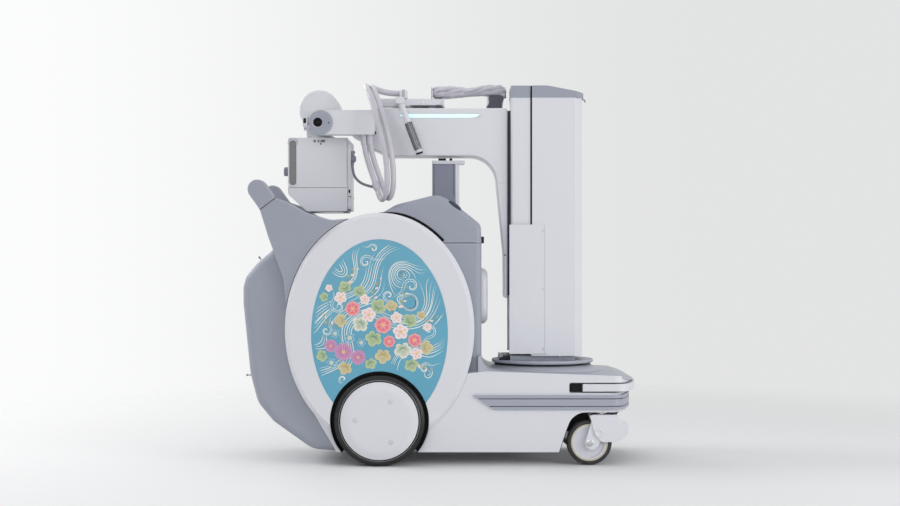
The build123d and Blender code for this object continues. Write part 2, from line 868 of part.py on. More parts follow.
def collimator_base():
    rear = collimator_x - collimator_half_length
    front = collimator_x + collimator_half_length
    profile = outline([
        (rear, collimator_seam_z - seam_width, 0), (rear, 902, 20), (-458, collimator_bottom_z, 20),
        (front, collimator_bottom_z, 6), (front, collimator_seam_z - seam_width, 0)])
    base = slab(profile, -head_half_width, head_half_width)
    core = block(rear + 30, front - 30, -60, 60, collimator_seam_z - seam_width, collimator_seam_z)
    return base + core


def collimator_panel():
    face = collimator_x + collimator_half_length
    panel = block(face, face + panel_thickness, -panel_half_width, panel_half_width,
                  collimator_bottom_z + 4, collimator_top_z - 12)
    return fillet(panel.edges().filter_by(Axis.X), 10)


def head_knob():
    rear = collimator_x - collimator_half_length
    return rod_x(0, knob_z, knob_radius, rear - knob_length, rear)


def lamp_plug():
    face = collimator_x + collimator_half_length + panel_thickness
    plug = block(face, face + plug_length, plug_y - plug_half_width, plug_y + plug_half_width,
                 plug_bottom_z, plug_top_z)
    return fillet(plug.edges().filter_by(Axis.Z).sort_by(Axis.X)[-2:], 6)


def collimator_trim():
    return head_side_strips() + head_knob() + lamp_plug()


# Cords: points of each route, chosen by hand; the radii follow from the runs
near_hose_points = [
    (-262, -150, 1098), (-262, -150, 1048), (-217, -125, 917), (-206, -159, 881), (-190, -208, 881),
    (-179, -242, 917), (-181, -243, 1000), (-197, -236, 1090), (-222, -215, 1180), (-244, -178, 1244),
    (-256, -122, 1268), (-256, -70, 1268), (-228.5, -22.4, 1262), (-181, 5, 1252), (clamp_rear_x, 5, 1252)]

far_hose_points = [
    (-241, -150, 1098), (-241, -150, 1048), (-196, -125, 921), (-185, -159, 885), (-169, -208, 885),
    (-158, -242, 921), (-160, -243, 1000), (-176, -236, 1090), (-201, -215, 1180), (-223, -176, 1242),
    (-235, -124, 1264), (-235, -82, 1265), (-212.5, -43, 1259), (-173.5, -21, 1252),
    (clamp_rear_x, -21, 1252)]

lamp_cord_points = [
    (-305, plug_y, plug_bottom_z), (-305, plug_y, 980), (-290.5, -78, 951), (-262, -94, 932),
    (-229, -116, 925)]


def cord(points, diameter):
    spots = [Vector(*p) for p in points]
    radii = []
    for before, here, after in zip(spots, spots[1:], spots[2:]):
        turn = math.radians((here - before).get_angle(after - here))
        shorter = min((here - before).length, (after - here).length)
        radii.append(0.45 * shorter / math.tan(turn / 2))
    path = FilletPolyline(spots, radius=radii)
    print("cord radii", [round(r) for r in radii], "length", round(path.length))
    return sweep(Plane(origin=spots[0], z_dir=path % 0) * Circle(diameter / 2), path=path)


single = {
    "drive_axles": drive_axles, "lower_body": lower_body, "deck": deck, "base_liners": base_liners,
    "bumper_bar": bumper_bar, "bumper_rail": bumper_rail, "caster_mounts": caster_mounts,
    "body_core": body_core, "hood": hood, "front_pod": front_pod, "rear_cover": rear_cover,
    "oval_panels": oval_panels, "inset_panels": inset_panels,
    "handle_necks": handle_necks, "grips": grips, "console_screen": console_screen,
    "park_post": park_post, "park_post_trim": park_post_trim, "park_pads": park_pads,
    "turntable_ring": turntable_ring, "turntable_disc": turntable_disc, "column_foot": column_foot,
    "column": column, "column_cap": column_cap, "column_shroud": column_shroud,
    "mast_guides": mast_guides, "mast": mast, "mast_cap": mast_cap, "arm_carriage": arm_carriage,
    "arm_housing": arm_housing, "light_strips": light_strips, "top_rail": top_rail,
    "arm_brackets": arm_brackets, "cable_sleeve": cable_sleeve,
    "guide_rod": guide_rod, "guide_grip": guide_grip, "inner_arm": inner_arm, "wrist": wrist,
    "hub_cap": hub_cap, "tube_housing": tube_housing, "collimator": collimator,
    "collimator_base": collimator_base, "collimator_panel": collimator_panel,
    "collimator_trim": collimator_trim,
}
for name, make in single.items():
    save(make(), name)

for side_name, side in (("left", 1), ("right", -1)):
    save(drive_tyre(side), f"drive_tyre_{side_name}")
    save(drive_disc(side), f"drive_disc_{side_name}")
    for piece_name, make in (("fork", caster_fork), ("guard", caster_guard), ("tyre", caster_tyre),
                             ("hub", caster_hub)):
        save(Pos(0, side * caster_y, 0) * make(), f"caster_{piece_name}_{side_name}")

save(cord(near_hose_points, hose_diameter), "near_hose")
save(cord(far_hose_points, hose_diameter), "far_hose")
save(cord(lamp_cord_points, lamp_cord_diameter), "lamp_cord")
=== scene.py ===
import bpy
import bmesh
import math
import random
from mathutils import Matrix, Vector, noise


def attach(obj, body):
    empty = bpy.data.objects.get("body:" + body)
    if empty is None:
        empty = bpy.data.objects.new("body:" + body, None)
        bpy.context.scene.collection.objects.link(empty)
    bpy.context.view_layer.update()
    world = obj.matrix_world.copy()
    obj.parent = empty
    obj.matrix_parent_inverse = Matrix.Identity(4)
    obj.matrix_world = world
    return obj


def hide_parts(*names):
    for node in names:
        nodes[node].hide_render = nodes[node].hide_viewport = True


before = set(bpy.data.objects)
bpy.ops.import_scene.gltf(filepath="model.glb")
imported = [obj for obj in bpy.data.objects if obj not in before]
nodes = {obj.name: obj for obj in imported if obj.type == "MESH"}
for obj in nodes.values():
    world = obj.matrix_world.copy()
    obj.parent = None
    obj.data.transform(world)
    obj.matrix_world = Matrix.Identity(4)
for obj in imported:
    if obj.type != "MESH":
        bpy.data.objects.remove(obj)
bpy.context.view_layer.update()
scene = bpy.context.scene
print("frame loaded")


# Camera, floor and light
studio = {
    "cameraPlace": (0.028, -5.40, 0.702),
    "lens": 62.5,
    "sensor": 36.0,
    "floorColour": (0.765, 0.765, 0.762),
    "floorFade": (1.3, 3.4),
    "backdropLitLeft": (0.97, 0.98, 0.975),
    "backdropShadedRight": (0.765, 0.775, 0.77),
    "backdropTurn": (-0.30, 0.16),
    "ambient": (0.93, 0.94, 0.97),
    "ambientStrength": 0.53,
}
lamps = [
    # name, place, aimed at, size, watts, colour
    ("keyLamp", (-4.2, 0.3, 3.1), (0.0, 0.0, 0.3), 1.3, 88, (1.0, 0.995, 0.985)),
    ("rightLamp", (4.0, -2.6, 1.5), (0.2, 0.0, 0.6), 2.4, 84, (0.98, 0.985, 1.0)),
    ("frontLamp", (-0.6, -5.8, 2.2), (0.0, 0.0, 0.6), 4.0, 72, (0.97, 0.98, 1.0)),
    ("topLamp", (0.2, 0.4, 4.6), (0.0, 0.0, 0.0), 3.2, 36, (1.0, 1.0, 1.0)),
    ("backLamp", (-2.6, 3.6, 2.4), (0.0, 0.0, 0.7), 2.2, 40, (1.0, 1.0, 1.0)),
]


def addNode(tree, kind, settings=None, sockets=None):
    node = tree.nodes.new("ShaderNode" + kind)
    for name, value in (settings or {}).items():
        setattr(node, name, value)
    for name, value in (sockets or {}).items():
        if isinstance(value, bpy.types.NodeSocket):
            tree.links.new(value, node.inputs[name])
        else:
            node.inputs[name].default_value = value
    return node


def mixColour(tree, share, first, second, blend="MIX"):
    mix = addNode(tree, "MixRGB", {"blend_type": blend}, {"Fac": share, "Color1": first, "Color2": second})
    return mix.outputs[0]


def product(tree, one, two):
    return addNode(tree, "Math", {"operation": "MULTIPLY"}, {0: one, 1: two}).outputs[0]


def remap(tree, value, low=0.0, high=1.0, start=0.0, end=1.0, way="LINEAR"):
    node = addNode(tree, "MapRange", {"interpolation_type": way}, {
        "Value": value, "From Min": low, "From Max": high, "To Min": start, "To Max": end})
    return node.outputs[0]


def aim(obj, place, target):
    obj.location = place
    obj.rotation_euler = (Vector(target) - Vector(place)).to_track_quat("-Z", "Y").to_euler()


def buildStudio():
    scene.view_settings.view_transform = "Standard"
    camera = bpy.data.objects.new("camera", bpy.data.cameras.new("camera"))
    camera.data.lens = studio["lens"]
    camera.data.sensor_width = studio["sensor"]
    camera.location = studio["cameraPlace"]
    camera.rotation_euler = (math.radians(90), 0, 0)
    scene.collection.objects.link(camera)
    scene.camera = camera
    for name, place, target, size, watts, colour in lamps:
        lamp = bpy.data.objects.new(name, bpy.data.lights.new(name, "AREA"))
        lamp.data.size = size
        lamp.data.energy = watts
        lamp.data.color = colour
        aim(lamp, place, target)
        scene.collection.objects.link(lamp)

    world = bpy.data.worlds.new("studioWorld")
    scene.world = world
    world.use_nodes = True
    tree = world.node_tree
    tree.nodes.clear()
    way = addNode(tree, "TexCoord")
    parts = addNode(tree, "SeparateXYZ", sockets={0: way.outputs["Generated"]})
    # painted light: the backdrop the camera sees is brighter at the left and darker at the right
    across = remap(tree, parts.outputs["X"], *studio["backdropTurn"], way="SMOOTHSTEP")
    paintedFalloff = mixColour(tree, across, (*studio["backdropLitLeft"], 1), (*studio["backdropShadedRight"], 1))
    rays = addNode(tree, "LightPath")
    seen = rays.outputs["Is Camera Ray"]
    for ray in ("Is Transmission Ray", "Is Glossy Ray"):
        seen = addNode(tree, "Math", {"operation": "MAXIMUM"}, {0: seen, 1: rays.outputs[ray]}).outputs[0]
    backdrop = addNode(tree, "Background", sockets={"Color": paintedFalloff, "Strength": 1.0})
    light = addNode(tree, "Background", sockets={
        "Color": (*studio["ambient"], 1), "Strength": studio["ambientStrength"]})
    mixed = addNode(tree, "MixShader", sockets={0: seen})
    tree.links.new(light.outputs[0], mixed.inputs[1])
    tree.links.new(backdrop.outputs[0], mixed.inputs[2])
    out = addNode(tree, "OutputWorld")
    tree.links.new(mixed.outputs[0], out.inputs["Surface"])

    bm = bmesh.new()
    bmesh.ops.create_circle(bm, cap_ends=True, segments=96, radius=6)
    mesh = bpy.data.meshes.new("studioFloor")
    bm.to_mesh(mesh)
    bm.free()
    floor = bpy.data.objects.new("studioFloor", mesh)
    scene.collection.objects.link(floor)
    material = bpy.data.materials.new("studioFloor")
    material.use_nodes = True
    tree = material.node_tree
    shader = tree.nodes["Principled BSDF"]
    shader.inputs["Base Color"].default_value = (*studio["floorColour"], 1)
    shader.inputs["Roughness"].default_value = 0.7
    shader.inputs["Specular IOR Level"].default_value = 0.15
    place = addNode(tree, "TexCoord")
    far = addNode(tree, "VectorMath", {"operation": "LENGTH"}, {0: place.outputs["Object"]})
    fade = remap(tree, far.outputs["Value"], *studio["floorFade"], 1.0, 0.0, "SMOOTHSTEP")
    tree.links.new(fade, shader.inputs["Alpha"])
    mesh.materials.append(material)


buildStudio()
print("studio built")


# Shared surface effects
def newGroup(name, inputs, outputs):
    tree = bpy.data.node_groups.new(name, "ShaderNodeTree")
    for label, kind, value in inputs:
        socket = tree.interface.new_socket(name=label, in_out="INPUT", socket_type="NodeSocket" + kind)
        socket.default_value = value
    for label, kind in outputs:
        tree.interface.new_socket(name=label, in_out="OUTPUT", socket_type="NodeSocket" + kind)
    return tree, tree.nodes.new("NodeGroupInput"), tree.nodes.new("NodeGroupOutput")


def buildEdgeGroup():
    # rounded look of a sharp edge, and a mask for a painted highlight along it
    tree, given, made = newGroup("softEdge", [("Radius", "Float", 0.003)],
                                 [("Normal", "Vector"), ("EdgeHighlight", "Float")])
    bevel = addNode(tree, "Bevel", {"samples": 4}, {"Radius": given.outputs["Radius"]})
    flat = addNode(tree, "NewGeometry")
    same = addNode(tree, "VectorMath", {"operation": "DOT_PRODUCT"},
                   {0: bevel.outputs[0], 1: flat.outputs["Normal"]})
    tree.links.new(bevel.outputs[0], made.inputs["Normal"])
    # the painted highlight's mask grows where the rounded normal turns away from the flat one
    tree.links.new(remap(tree, same.outputs["Value"], 0.995, 0.86), made.inputs["EdgeHighlight"])
    return tree


def buildGrainGroup():
    # fine skin of paint or moulded plastic, and slow changes of shade across a panel
    tree, given, made = newGroup("skinGrain", [("Scale", "Float", 900.0), ("Mottle", "Float", 2.2)],
                                 [("Height", "Float"), ("Shade", "Float"), ("Rub", "Float")])
    place = addNode(tree, "TexCoord")
    layers = {}
    for label, scale, detail, rough, warp in (
            ("Height", given.outputs["Scale"], 2.0, 0.55, 0.0),
            ("Shade", given.outputs["Mottle"], 3.0, 0.5, 0.0),
            ("Rub", 34.0, 6.0, 0.7, 0.6)):
        layers[label] = addNode(tree, "TexNoise", sockets={
            "Vector": place.outputs["Object"], "Scale": scale, "Detail": detail, "Roughness": rough,
            "Distortion": warp}).outputs[0]
    layers["Rub"] = remap(tree, layers["Rub"], 0.45, 0.75)
    for label, value in layers.items():
        tree.links.new(value, made.inputs[label])
    return tree


def buildDustGroup():
    # dust that gathers low down, near the floor
    tree, given, made = newGroup("floorDust", [("Reach", "Float", 0.16)], [("Dust", "Float")])
    place = addNode(tree, "TexCoord")
    parts = addNode(tree, "SeparateXYZ", sockets={0: place.outputs["Object"]})
    low = remap(tree, parts.outputs["Z"], 0.0, given.outputs["Reach"], 1.0, 0.0)
    specks = addNode(tree, "TexNoise", sockets={
        "Vector": place.outputs["Object"], "Scale": 60.0, "Detail": 8.0, "Roughness": 0.75})
    tree.links.new(product(tree, low, specks.outputs[0]), made.inputs["Dust"])
    return tree


def buildWeaveGroup():
    # over-and-under threads of a cable sleeve, and a mask of painted shade in the gaps between them
    tree, given, made = newGroup("threadWeave", [("Scale", "Float", 420.0)],
                                 [("Height", "Float"), ("GapShade", "Float")])
    place = addNode(tree, "TexCoord")
    turned = addNode(tree, "Mapping", sockets={
        "Vector": place.outputs["Object"], "Rotation": (0.5, 0.7, 0.6)})
    threads = []
    for axis in ("X", "Z"):
        wave = addNode(tree, "TexWave", {"bands_direction": axis}, {
            "Vector": turned.outputs[0], "Scale": given.outputs["Scale"], "Distortion": 0.6, "Detail": 1.0})
        threads.append(wave.outputs["Fac"])
    height = product(tree, *threads)
    tree.links.new(height, made.inputs["Height"])
    tree.links.new(remap(tree, height, 0.0, 0.22, 1.0, 0.0), made.inputs["GapShade"])
    return tree


softEdge = buildEdgeGroup()
skinGrain = buildGrainGroup()
floorDust = buildDustGroup()
threadWeave = buildWeaveGroup()


# Finishes
def useGroup(tree, group, **sockets):
    node = tree.nodes.new("ShaderNodeGroup")
    node.node_tree = group
    for name, value in sockets.items():
        node.inputs[name].default_value = value
    return node


def newMaterial(name, look):
    material = bpy.data.materials.new(name)
    material.use_nodes = True
    shader = material.node_tree.nodes["Principled BSDF"]
    shader.inputs["Roughness"].default_value = look.get("roughness", 0.5)
    shader.inputs["Metallic"].default_value = look.get("metallic", 0.0)
    shader.inputs["Coat Weight"].default_value = look.get("coat", 0.0)
    shader.inputs["Coat Roughness"].default_value = 0.18
    shader.inputs["Specular IOR Level"].default_value = look.get("specular", 0.45)
    return material, material.node_tree, shader


def skinOver(tree, shader, base, height, strength, depth, normal=None):
    # colour and fine relief, over a rounded edge's normal where there is one
    tree.links.new(base, shader.inputs["Base Color"])
    bump = addNode(tree, "Bump", sockets={"Strength": strength, "Distance": depth, "Height": height})
    if normal:
        tree.links.new(normal, bump.inputs["Normal"])
    tree.links.new(bump.outputs[0], shader.inputs["Normal"])


def shellMaterial(name, look):
    # painted or moulded shell: painted highlight along the edges, slow mottling, fine skin
    material, tree, shader = newMaterial(name, look)
    colour = look["colour"]
    edge = useGroup(tree, softEdge, Radius=look.get("edgeRadius", 0.003))
    grain = useGroup(tree, skinGrain, Scale=look.get("grain", 900.0), Mottle=look.get("mottle", 2.2))
    deep = [c * (1 - look.get("variation", 0.03)) for c in colour]
    pale = [min(1, c * (1 + look.get("variation", 0.03))) for c in colour]
    base = mixColour(tree, grain.outputs["Shade"], (*deep, 1), (*pale, 1))
    # painted highlight: every edge is lightened towards a paler colour
    edgeHighlight = product(tree, edge.outputs["EdgeHighlight"], look.get("edgeHighlightShare", 0.6))
    base = mixColour(tree, edgeHighlight, base, (*look["edgeHighlightColour"], 1))
    if look.get("shadedGrooves"):
        # grooves that run along the moulding, painted darker inside as shade
        place = addNode(tree, "TexCoord")
        parts = addNode(tree, "SeparateXYZ", sockets={0: place.outputs["Object"]})
        for height in look["shadedGrooves"]:
            off = addNode(tree, "Math", {"operation": "SUBTRACT"}, {0: parts.outputs["Z"], 1: height})
            off = addNode(tree, "Math", {"operation": "ABSOLUTE"}, {0: off.outputs[0]})
            inside = remap(tree, off.outputs[0], 0.0012, 0.0021, 0.85, 0.0)
            base = mixColour(tree, inside, base, (0.055, 0.06, 0.08, 1))
    if look.get("dust"):
        dust = useGroup(tree, floorDust, Reach=look.get("dustReach", 0.16))
        base = mixColour(tree, product(tree, dust.outputs[0], look["dust"]), base, (0.36, 0.35, 0.33, 1))
    rough = remap(tree, grain.outputs["Rub"], start=look["roughness"] - 0.05, end=look["roughness"] + 0.08)
    tree.links.new(rough, shader.inputs["Roughness"])
    skinOver(tree, shader, base, grain.outputs["Height"], look.get("bump", 0.12), 0.0006,
             edge.outputs["Normal"])
    return material


# each look's paler edge colour is a painted highlight laid along its edges
shellLooks = {
    "whitePaint": {"colour": (0.660, 0.664, 0.698), "edgeHighlightColour": (0.93, 0.93, 0.95), "roughness": 0.42,
                   "coat": 0.12, "variation": 0.02, "dust": 0.10, "dustReach": 0.10},
    "greyMoulding": {"colour": (0.306, 0.324, 0.382), "edgeHighlightColour": (0.66, 0.68, 0.74), "roughness": 0.5,
                     "grain": 1500.0, "bump": 0.2, "edgeRadius": 0.008, "edgeHighlightShare": 0.85, "dust": 0.08},
    "railGrey": {"colour": (0.335, 0.352, 0.410), "edgeHighlightColour": (0.66, 0.68, 0.74), "roughness": 0.42,
                 "grain": 1500.0, "edgeRadius": 0.0025, "edgeHighlightShare": 0.8, "shadedGrooves": (0.1955, 0.2208)},
    "deckGrey": {"colour": (0.40, 0.415, 0.465), "edgeHighlightColour": (0.62, 0.63, 0.68), "roughness": 0.46,
                 "edgeRadius": 0.002},
    "postGrey": {"colour": (0.185, 0.195, 0.255), "edgeHighlightColour": (0.42, 0.44, 0.52), "roughness": 0.4,
                 "coat": 0.1, "edgeRadius": 0.002},
    "capGrey": {"colour": (0.300, 0.318, 0.375), "edgeHighlightColour": (0.45, 0.47, 0.53), "roughness": 0.48,
                "grain": 1500.0, "edgeRadius": 0.001},
    "stripGrey": {"colour": (0.175, 0.175, 0.172), "edgeHighlightColour": (0.30, 0.30, 0.30), "roughness": 0.38,
                  "edgeRadius": 0.002},
    "blackPlasticAndShade": {"colour": (0.008, 0.008, 0.010), "edgeHighlightColour": (0.05, 0.05, 0.06), "roughness": 0.42,
                     "specular": 0.2, "edgeRadius": 0.001},
    "darkLinerAndShade": {"colour": (0.060, 0.062, 0.095), "edgeHighlightColour": (0.13, 0.14, 0.19), "roughness": 0.6,
                  "specular": 0.2, "edgeRadius": 0.001},
    "casterHub": {"colour": (0.60, 0.60, 0.655), "edgeHighlightColour": (0.85, 0.85, 0.88), "roughness": 0.36,
                  "coat": 0.2, "edgeRadius": 0.001, "dust": 0.2},
    "casterRing": {"colour": (0.56, 0.50, 0.36), "edgeHighlightColour": (0.70, 0.65, 0.50), "roughness": 0.5,
                   "edgeRadius": 0.001, "dust": 0.2},
    "seamAndShadeDark": {"colour": (0.008, 0.008, 0.011), "edgeHighlightColour": (0.03, 0.03, 0.04), "roughness": 0.7,
                 "specular": 0.08, "edgeRadius": 0.0005},
    "streamInk": {"colour": (0.86, 0.85, 0.76), "edgeHighlightColour": (0.86, 0.85, 0.76), "roughness": 0.45,
                  "variation": 0.05, "mottle": 12.0, "edgeRadius": 0.0002, "edgeHighlightShare": 0.2},
    "seamAndShadePale": {"colour": (0.42, 0.43, 0.47), "edgeHighlightColour": (0.5, 0.5, 0.55), "roughness": 0.6,
                 "edgeRadius": 0.0005},
    "screwSteel": {"colour": (0.52, 0.52, 0.54), "edgeHighlightColour": (0.75, 0.75, 0.76), "roughness": 0.3,
                   "metallic": 0.9, "edgeRadius": 0.0008},
    "axleSteel": {"colour": (0.50, 0.51, 0.53), "edgeHighlightColour": (0.72, 0.72, 0.74), "roughness": 0.28,
                  "metallic": 1.0, "edgeRadius": 0.001},
    "gripMetal": {"colour": (0.165, 0.160, 0.175), "edgeHighlightColour": (0.5, 0.5, 0.52), "roughness": 0.28,
                  "metallic": 0.75, "edgeRadius": 0.001},
}
finishes = {name: shellMaterial(name, look) for name, look in shellLooks.items()}


def rubberMaterial(name, look):
    # tyre rubber with a faint bloom and road dust on the tread
    material, tree, shader = newMaterial(name, look)
    edge = useGroup(tree, softEdge, Radius=0.0012)
    grain = useGroup(tree, skinGrain, Scale=700.0, Mottle=9.0)
    dust = useGroup(tree, floorDust, Reach=0.30)
    base = mixColour(tree, grain.outputs["Rub"], (*look["colour"], 1), (*look["bloom"], 1))
    base = mixColour(tree, product(tree, dust.outputs[0], look["dust"]), base, (0.20, 0.195, 0.185, 1))
    skinOver(tree, shader, base, grain.outputs["Height"], 0.3, 0.0006, edge.outputs["Normal"])
    return material


finishes["driveRubber"] = rubberMaterial("driveRubber", {
    "colour": (0.012, 0.012, 0.013), "bloom": (0.024, 0.024, 0.024), "roughness": 0.34, "specular": 0.3,
    "dust": 0.10})
finishes["casterRubber"] = rubberMaterial("casterRubber", {
    "colour": (0.020, 0.019, 0.017), "bloom": (0.040, 0.038, 0.034), "roughness": 0.45, "specular": 0.3,
    "dust": 0.15})


def lightMaterial():
    # diffuser of the lit strip, a little dimmer towards its rear end
    material, tree, shader = newMaterial("stripLight", {"roughness": 0.3})
    place = addNode(tree, "TexCoord")
    parts = addNode(tree, "SeparateXYZ", sockets={0: place.outputs["Object"]})
    along = remap(tree, parts.outputs["X"], -0.150, -0.080, way="SMOOTHSTEP")
    glow = mixColour(tree, along, (0.55, 0.92, 0.92, 1), (0.72, 1.0, 0.99, 1))
    tree.links.new(glow, shader.inputs["Emission Color"])
    shader.inputs["Emission Strength"].default_value = 0.85
    shader.inputs["Base Color"].default_value = (0.2, 0.3, 0.3, 1)
    return material


def glassMaterial(name, colour, specular=0.3):
    material, tree, shader = newMaterial(name, {"coat": specular / 2, "specular": specular})
    grain = useGroup(tree, skinGrain, Scale=300.0, Mottle=6.0)
    smear = mixColour(tree, grain.outputs["Rub"], (*colour, 1), (*[c * 1.6 + 0.004 for c in colour], 1))
    tree.links.new(smear, shader.inputs["Base Color"])
    tree.links.new(remap(tree, grain.outputs["Rub"], start=0.05, end=0.16), shader.inputs["Roughness"])
    return material


finishes["stripLight"] = lightMaterial()
finishes["screenGlass"] = glassMaterial("screenGlass", (0.012, 0.016, 0.022))
finishes["lensGlass"] = glassMaterial("lensGlass", (0.0015, 0.0015, 0.002), 0.1)


def smoothMaterial(name, look):
    # a smooth skin that drifts between two tones: cable sheaths and the blue oval
    material, tree, shader = newMaterial(name, look)
    grain = useGroup(tree, skinGrain, Scale=look["grain"], Mottle=look["mottle"])
    base = mixColour(tree, grain.outputs["Shade"], (*look["shade"], 1), (*look["colour"], 1))
    shader.inputs["Sheen Weight"].default_value = look.get("sheen", 0.0)
    skinOver(tree, shader, base, grain.outputs["Height"], look["bump"], 0.0005)
    return material


smoothLooks = {
    "hoseSkin": {"colour": (0.60, 0.585, 0.625), "shade": (0.40, 0.385, 0.44), "roughness": 0.40, "coat": 0.2,
                 "grain": 520.0, "mottle": 14.0, "sheen": 0.15, "bump": 0.15},
    "cordSkin": {"colour": (0.25, 0.245, 0.29), "shade": (0.16, 0.155, 0.19), "roughness": 0.45,
                 "grain": 520.0, "mottle": 14.0, "sheen": 0.15, "bump": 0.15},
    "insetBlue": {"colour": (0.112, 0.385, 0.520), "shade": (0.080, 0.300, 0.430), "roughness": 0.4,
                  "coat": 0.25, "grain": 1100.0, "mottle": 5.0, "bump": 0.08},
}
for name, look in smoothLooks.items():
    finishes[name] = smoothMaterial(name, look)


def fabricMaterial(name, look):
    # woven sleeve with painted shade in the gaps between its threads
    material, tree, shader = newMaterial(name, look)
    weave = useGroup(tree, threadWeave, Scale=look["threads"])
    grain = useGroup(tree, skinGrain, Scale=220.0, Mottle=30.0)
    base = mixColour(tree, grain.outputs["Shade"], (*look["shade"], 1), (*look["colour"], 1))
    # painted shade: the gaps between the threads are darkened
    base = mixColour(tree, product(tree, weave.outputs["GapShade"], look["gapShadeShare"]), base, (*look["gapShade"], 1))
    shader.inputs["Sheen Weight"].default_value = 0.4
    skinOver(tree, shader, base, weave.outputs["Height"], 0.5, 0.0008)
    return material


finishes["sleeveFabric"] = fabricMaterial("sleeveFabric", {
    "colour": (0.72, 0.71, 0.745), "shade": (0.46, 0.45, 0.52), "gapShade": (0.30, 0.29, 0.35), "gapShadeShare": 0.4,
    "threads": 330.0, "roughness": 0.75})
finishes["meshFabric"] = fabricMaterial("meshFabric", {
    "colour": (0.20, 0.19, 0.25), "shade": (0.09, 0.085, 0.12), "gapShade": (0.02, 0.02, 0.03), "gapShadeShare": 0.9,
    "threads": 160.0, "roughness": 0.6})


def inkMaterial(name, look):
    # printed colours held by the mesh, with a fine break-up
    material, tree, shader = newMaterial(name, look)
    ink = addNode(tree, "VertexColor", {"layer_name": "ink"})
    grain = useGroup(tree, skinGrain, Scale=1100.0, Mottle=60.0)
    tone = remap(tree, grain.outputs["Shade"], start=0.86, end=1.08)
    base = mixColour(tree, 1.0, ink.outputs["Color"], tone, "MULTIPLY")
    tree.links.new(base, shader.inputs["Base Color"])
    return material


finishes["printInk"] = inkMaterial("printInk", {"roughness": 0.45, "coat": 0.2})
print("finishes made")

nodeFinishes = {
    "whitePaint": ["lower_body", "arm_brackets", "bumper_bar", "front_pod", "oval_panels",
                   "park_post_trim", "column", "column_shroud", "mast", "arm_housing", "top_rail",
                   "inner_arm", "wrist", "tube_housing", "collimator", "collimator_base",
                   "collimator_panel", "guide_rod"],
    "railGrey": ["bumper_rail"],
    "greyMoulding": ["body_core", "hood", "rear_cover", "handle_necks", "grips",
                     "turntable_disc", "column_foot", "hub_cap"],
    "deckGrey": ["deck", "turntable_ring"],
    "postGrey": ["park_post"],
    "capGrey": ["column_cap", "mast_cap"],
    "stripGrey": ["collimator_trim"],
    "blackPlasticAndShade": ["base_liners", "park_pads"],
    # painted shade: the arm carriage is painted dark, standing for the shade in the gap between arm and mast
    "darkLinerAndShade": ["arm_carriage"],
    "axleSteel": ["drive_axles", "caster_mounts", "mast_guides"],
    "gripMetal": ["guide_grip"],
    "insetBlue": ["inset_panels"],
    "stripLight": ["light_strips"],
    "screenGlass": ["console_screen"],
    "sleeveFabric": ["cable_sleeve"],
    "hoseSkin": ["near_hose", "far_hose"],
    "cordSkin": ["lamp_cord"],
}
sidedFinishes = {
    "driveRubber": "drive_tyre", "casterRubber": "caster_tyre", "casterHub": "caster_hub",
}


def paintNodes():
    for finish, names in nodeFinishes.items():
        for name in names:
            setFinish(name, finish)
    for side in ("left", "right"):
        for finish, stem in sidedFinishes.items():
            setFinish(f"{stem}_{side}", finish)
        for stem in ("drive_disc", "caster_fork", "caster_guard"):
            setFinish(f"{stem}_{side}", "whitePaint")


def setFinish(name, finish):
    piece = nodes[name]
    if not piece.material_slots:
        piece.data.materials.append(finishes[finish])
    for slot in piece.material_slots:
        slot.material = finishes[finish]


paintNodes()
print("frame painted")


# Hoses and cord
cordRoutes = {
    "nearHose": {
        "points": [(-0.262, -0.150, 1.098), (-0.262, -0.150, 1.048), (-0.217, -0.125, 0.917),
                   (-0.206, -0.159, 0.881), (-0.190, -0.208, 0.881), (-0.179, -0.242, 0.917),
                   (-0.181, -0.243, 1.000), (-0.197, -0.236, 1.090), (-0.222, -0.215, 1.180),
                   (-0.244, -0.178, 1.244), (-0.256, -0.122, 1.268), (-0.256, -0.070, 1.268),
                   (-0.2285, -0.0224, 1.262), (-0.181, 0.005, 1.252), (-0.145, 0.005, 1.252)],
        "diameter": 0.018, "length": 0.935, "finish": "hoseSkin", "node": "near_hose"},
    "farHose": {
        "points": [(-0.241, -0.150, 1.098), (-0.241, -0.150, 1.048), (-0.196, -0.125, 0.921),
                   (-0.185, -0.159, 0.885), (-0.169, -0.208, 0.885), (-0.158, -0.242, 0.921),
                   (-0.160, -0.243, 1.000), (-0.176, -0.236, 1.090), (-0.201, -0.215, 1.180),
                   (-0.223, -0.176, 1.242), (-0.235, -0.124, 1.264), (-0.235, -0.082, 1.265),
                   (-0.2125, -0.043, 1.259), (-0.1735, -0.021, 1.252), (-0.145, -0.021, 1.252)],
        "diameter": 0.018, "length": 0.885, "finish": "hoseSkin", "node": "far_hose"},
    "lampCord": {
        "points": [(-0.305, -0.070, 1.014), (-0.305, -0.070, 0.980), (-0.2905, -0.078, 0.951),
                   (-0.262, -0.094, 0.932), (-0.229, -0.116, 0.925)],
        "diameter": 0.009, "length": 0.144, "finish": "cordSkin", "node": "lamp_cord"},
}


def curvePiece(name, points, radius, finish, body, turns, corners):
    curve = bpy.data.curves.new(name, "CURVE")
    curve.dimensions = "3D"
    curve.resolution_u = turns
    curve.bevel_depth = radius
    curve.bevel_resolution = corners
    curve.use_fill_caps = True
    line = curve.splines.new("NURBS")
    line.points.add(len(points) - 1)
    for spot, point in zip(line.points, points):
        spot.co = (*point, 1)
    line.order_u = 3
    line.use_endpoint_u = True
    curve.materials.append(finishes[finish])
    piece = bpy.data.objects.new(name, curve)
    scene.collection.objects.link(piece)
    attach(piece, body)
    return piece


def buildCord(name, route):
    piece = curvePiece(name, route["points"], route["diameter"] / 2, route["finish"], "inner_arm", 12, 6)
    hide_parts(route["node"])


for name, route in cordRoutes.items():
    buildCord(name, route)
print("cords laid")


sides = (("right", -1), ("left", 1))


# Shapes
def sideways(u, v, w):
    return (u, w, v)


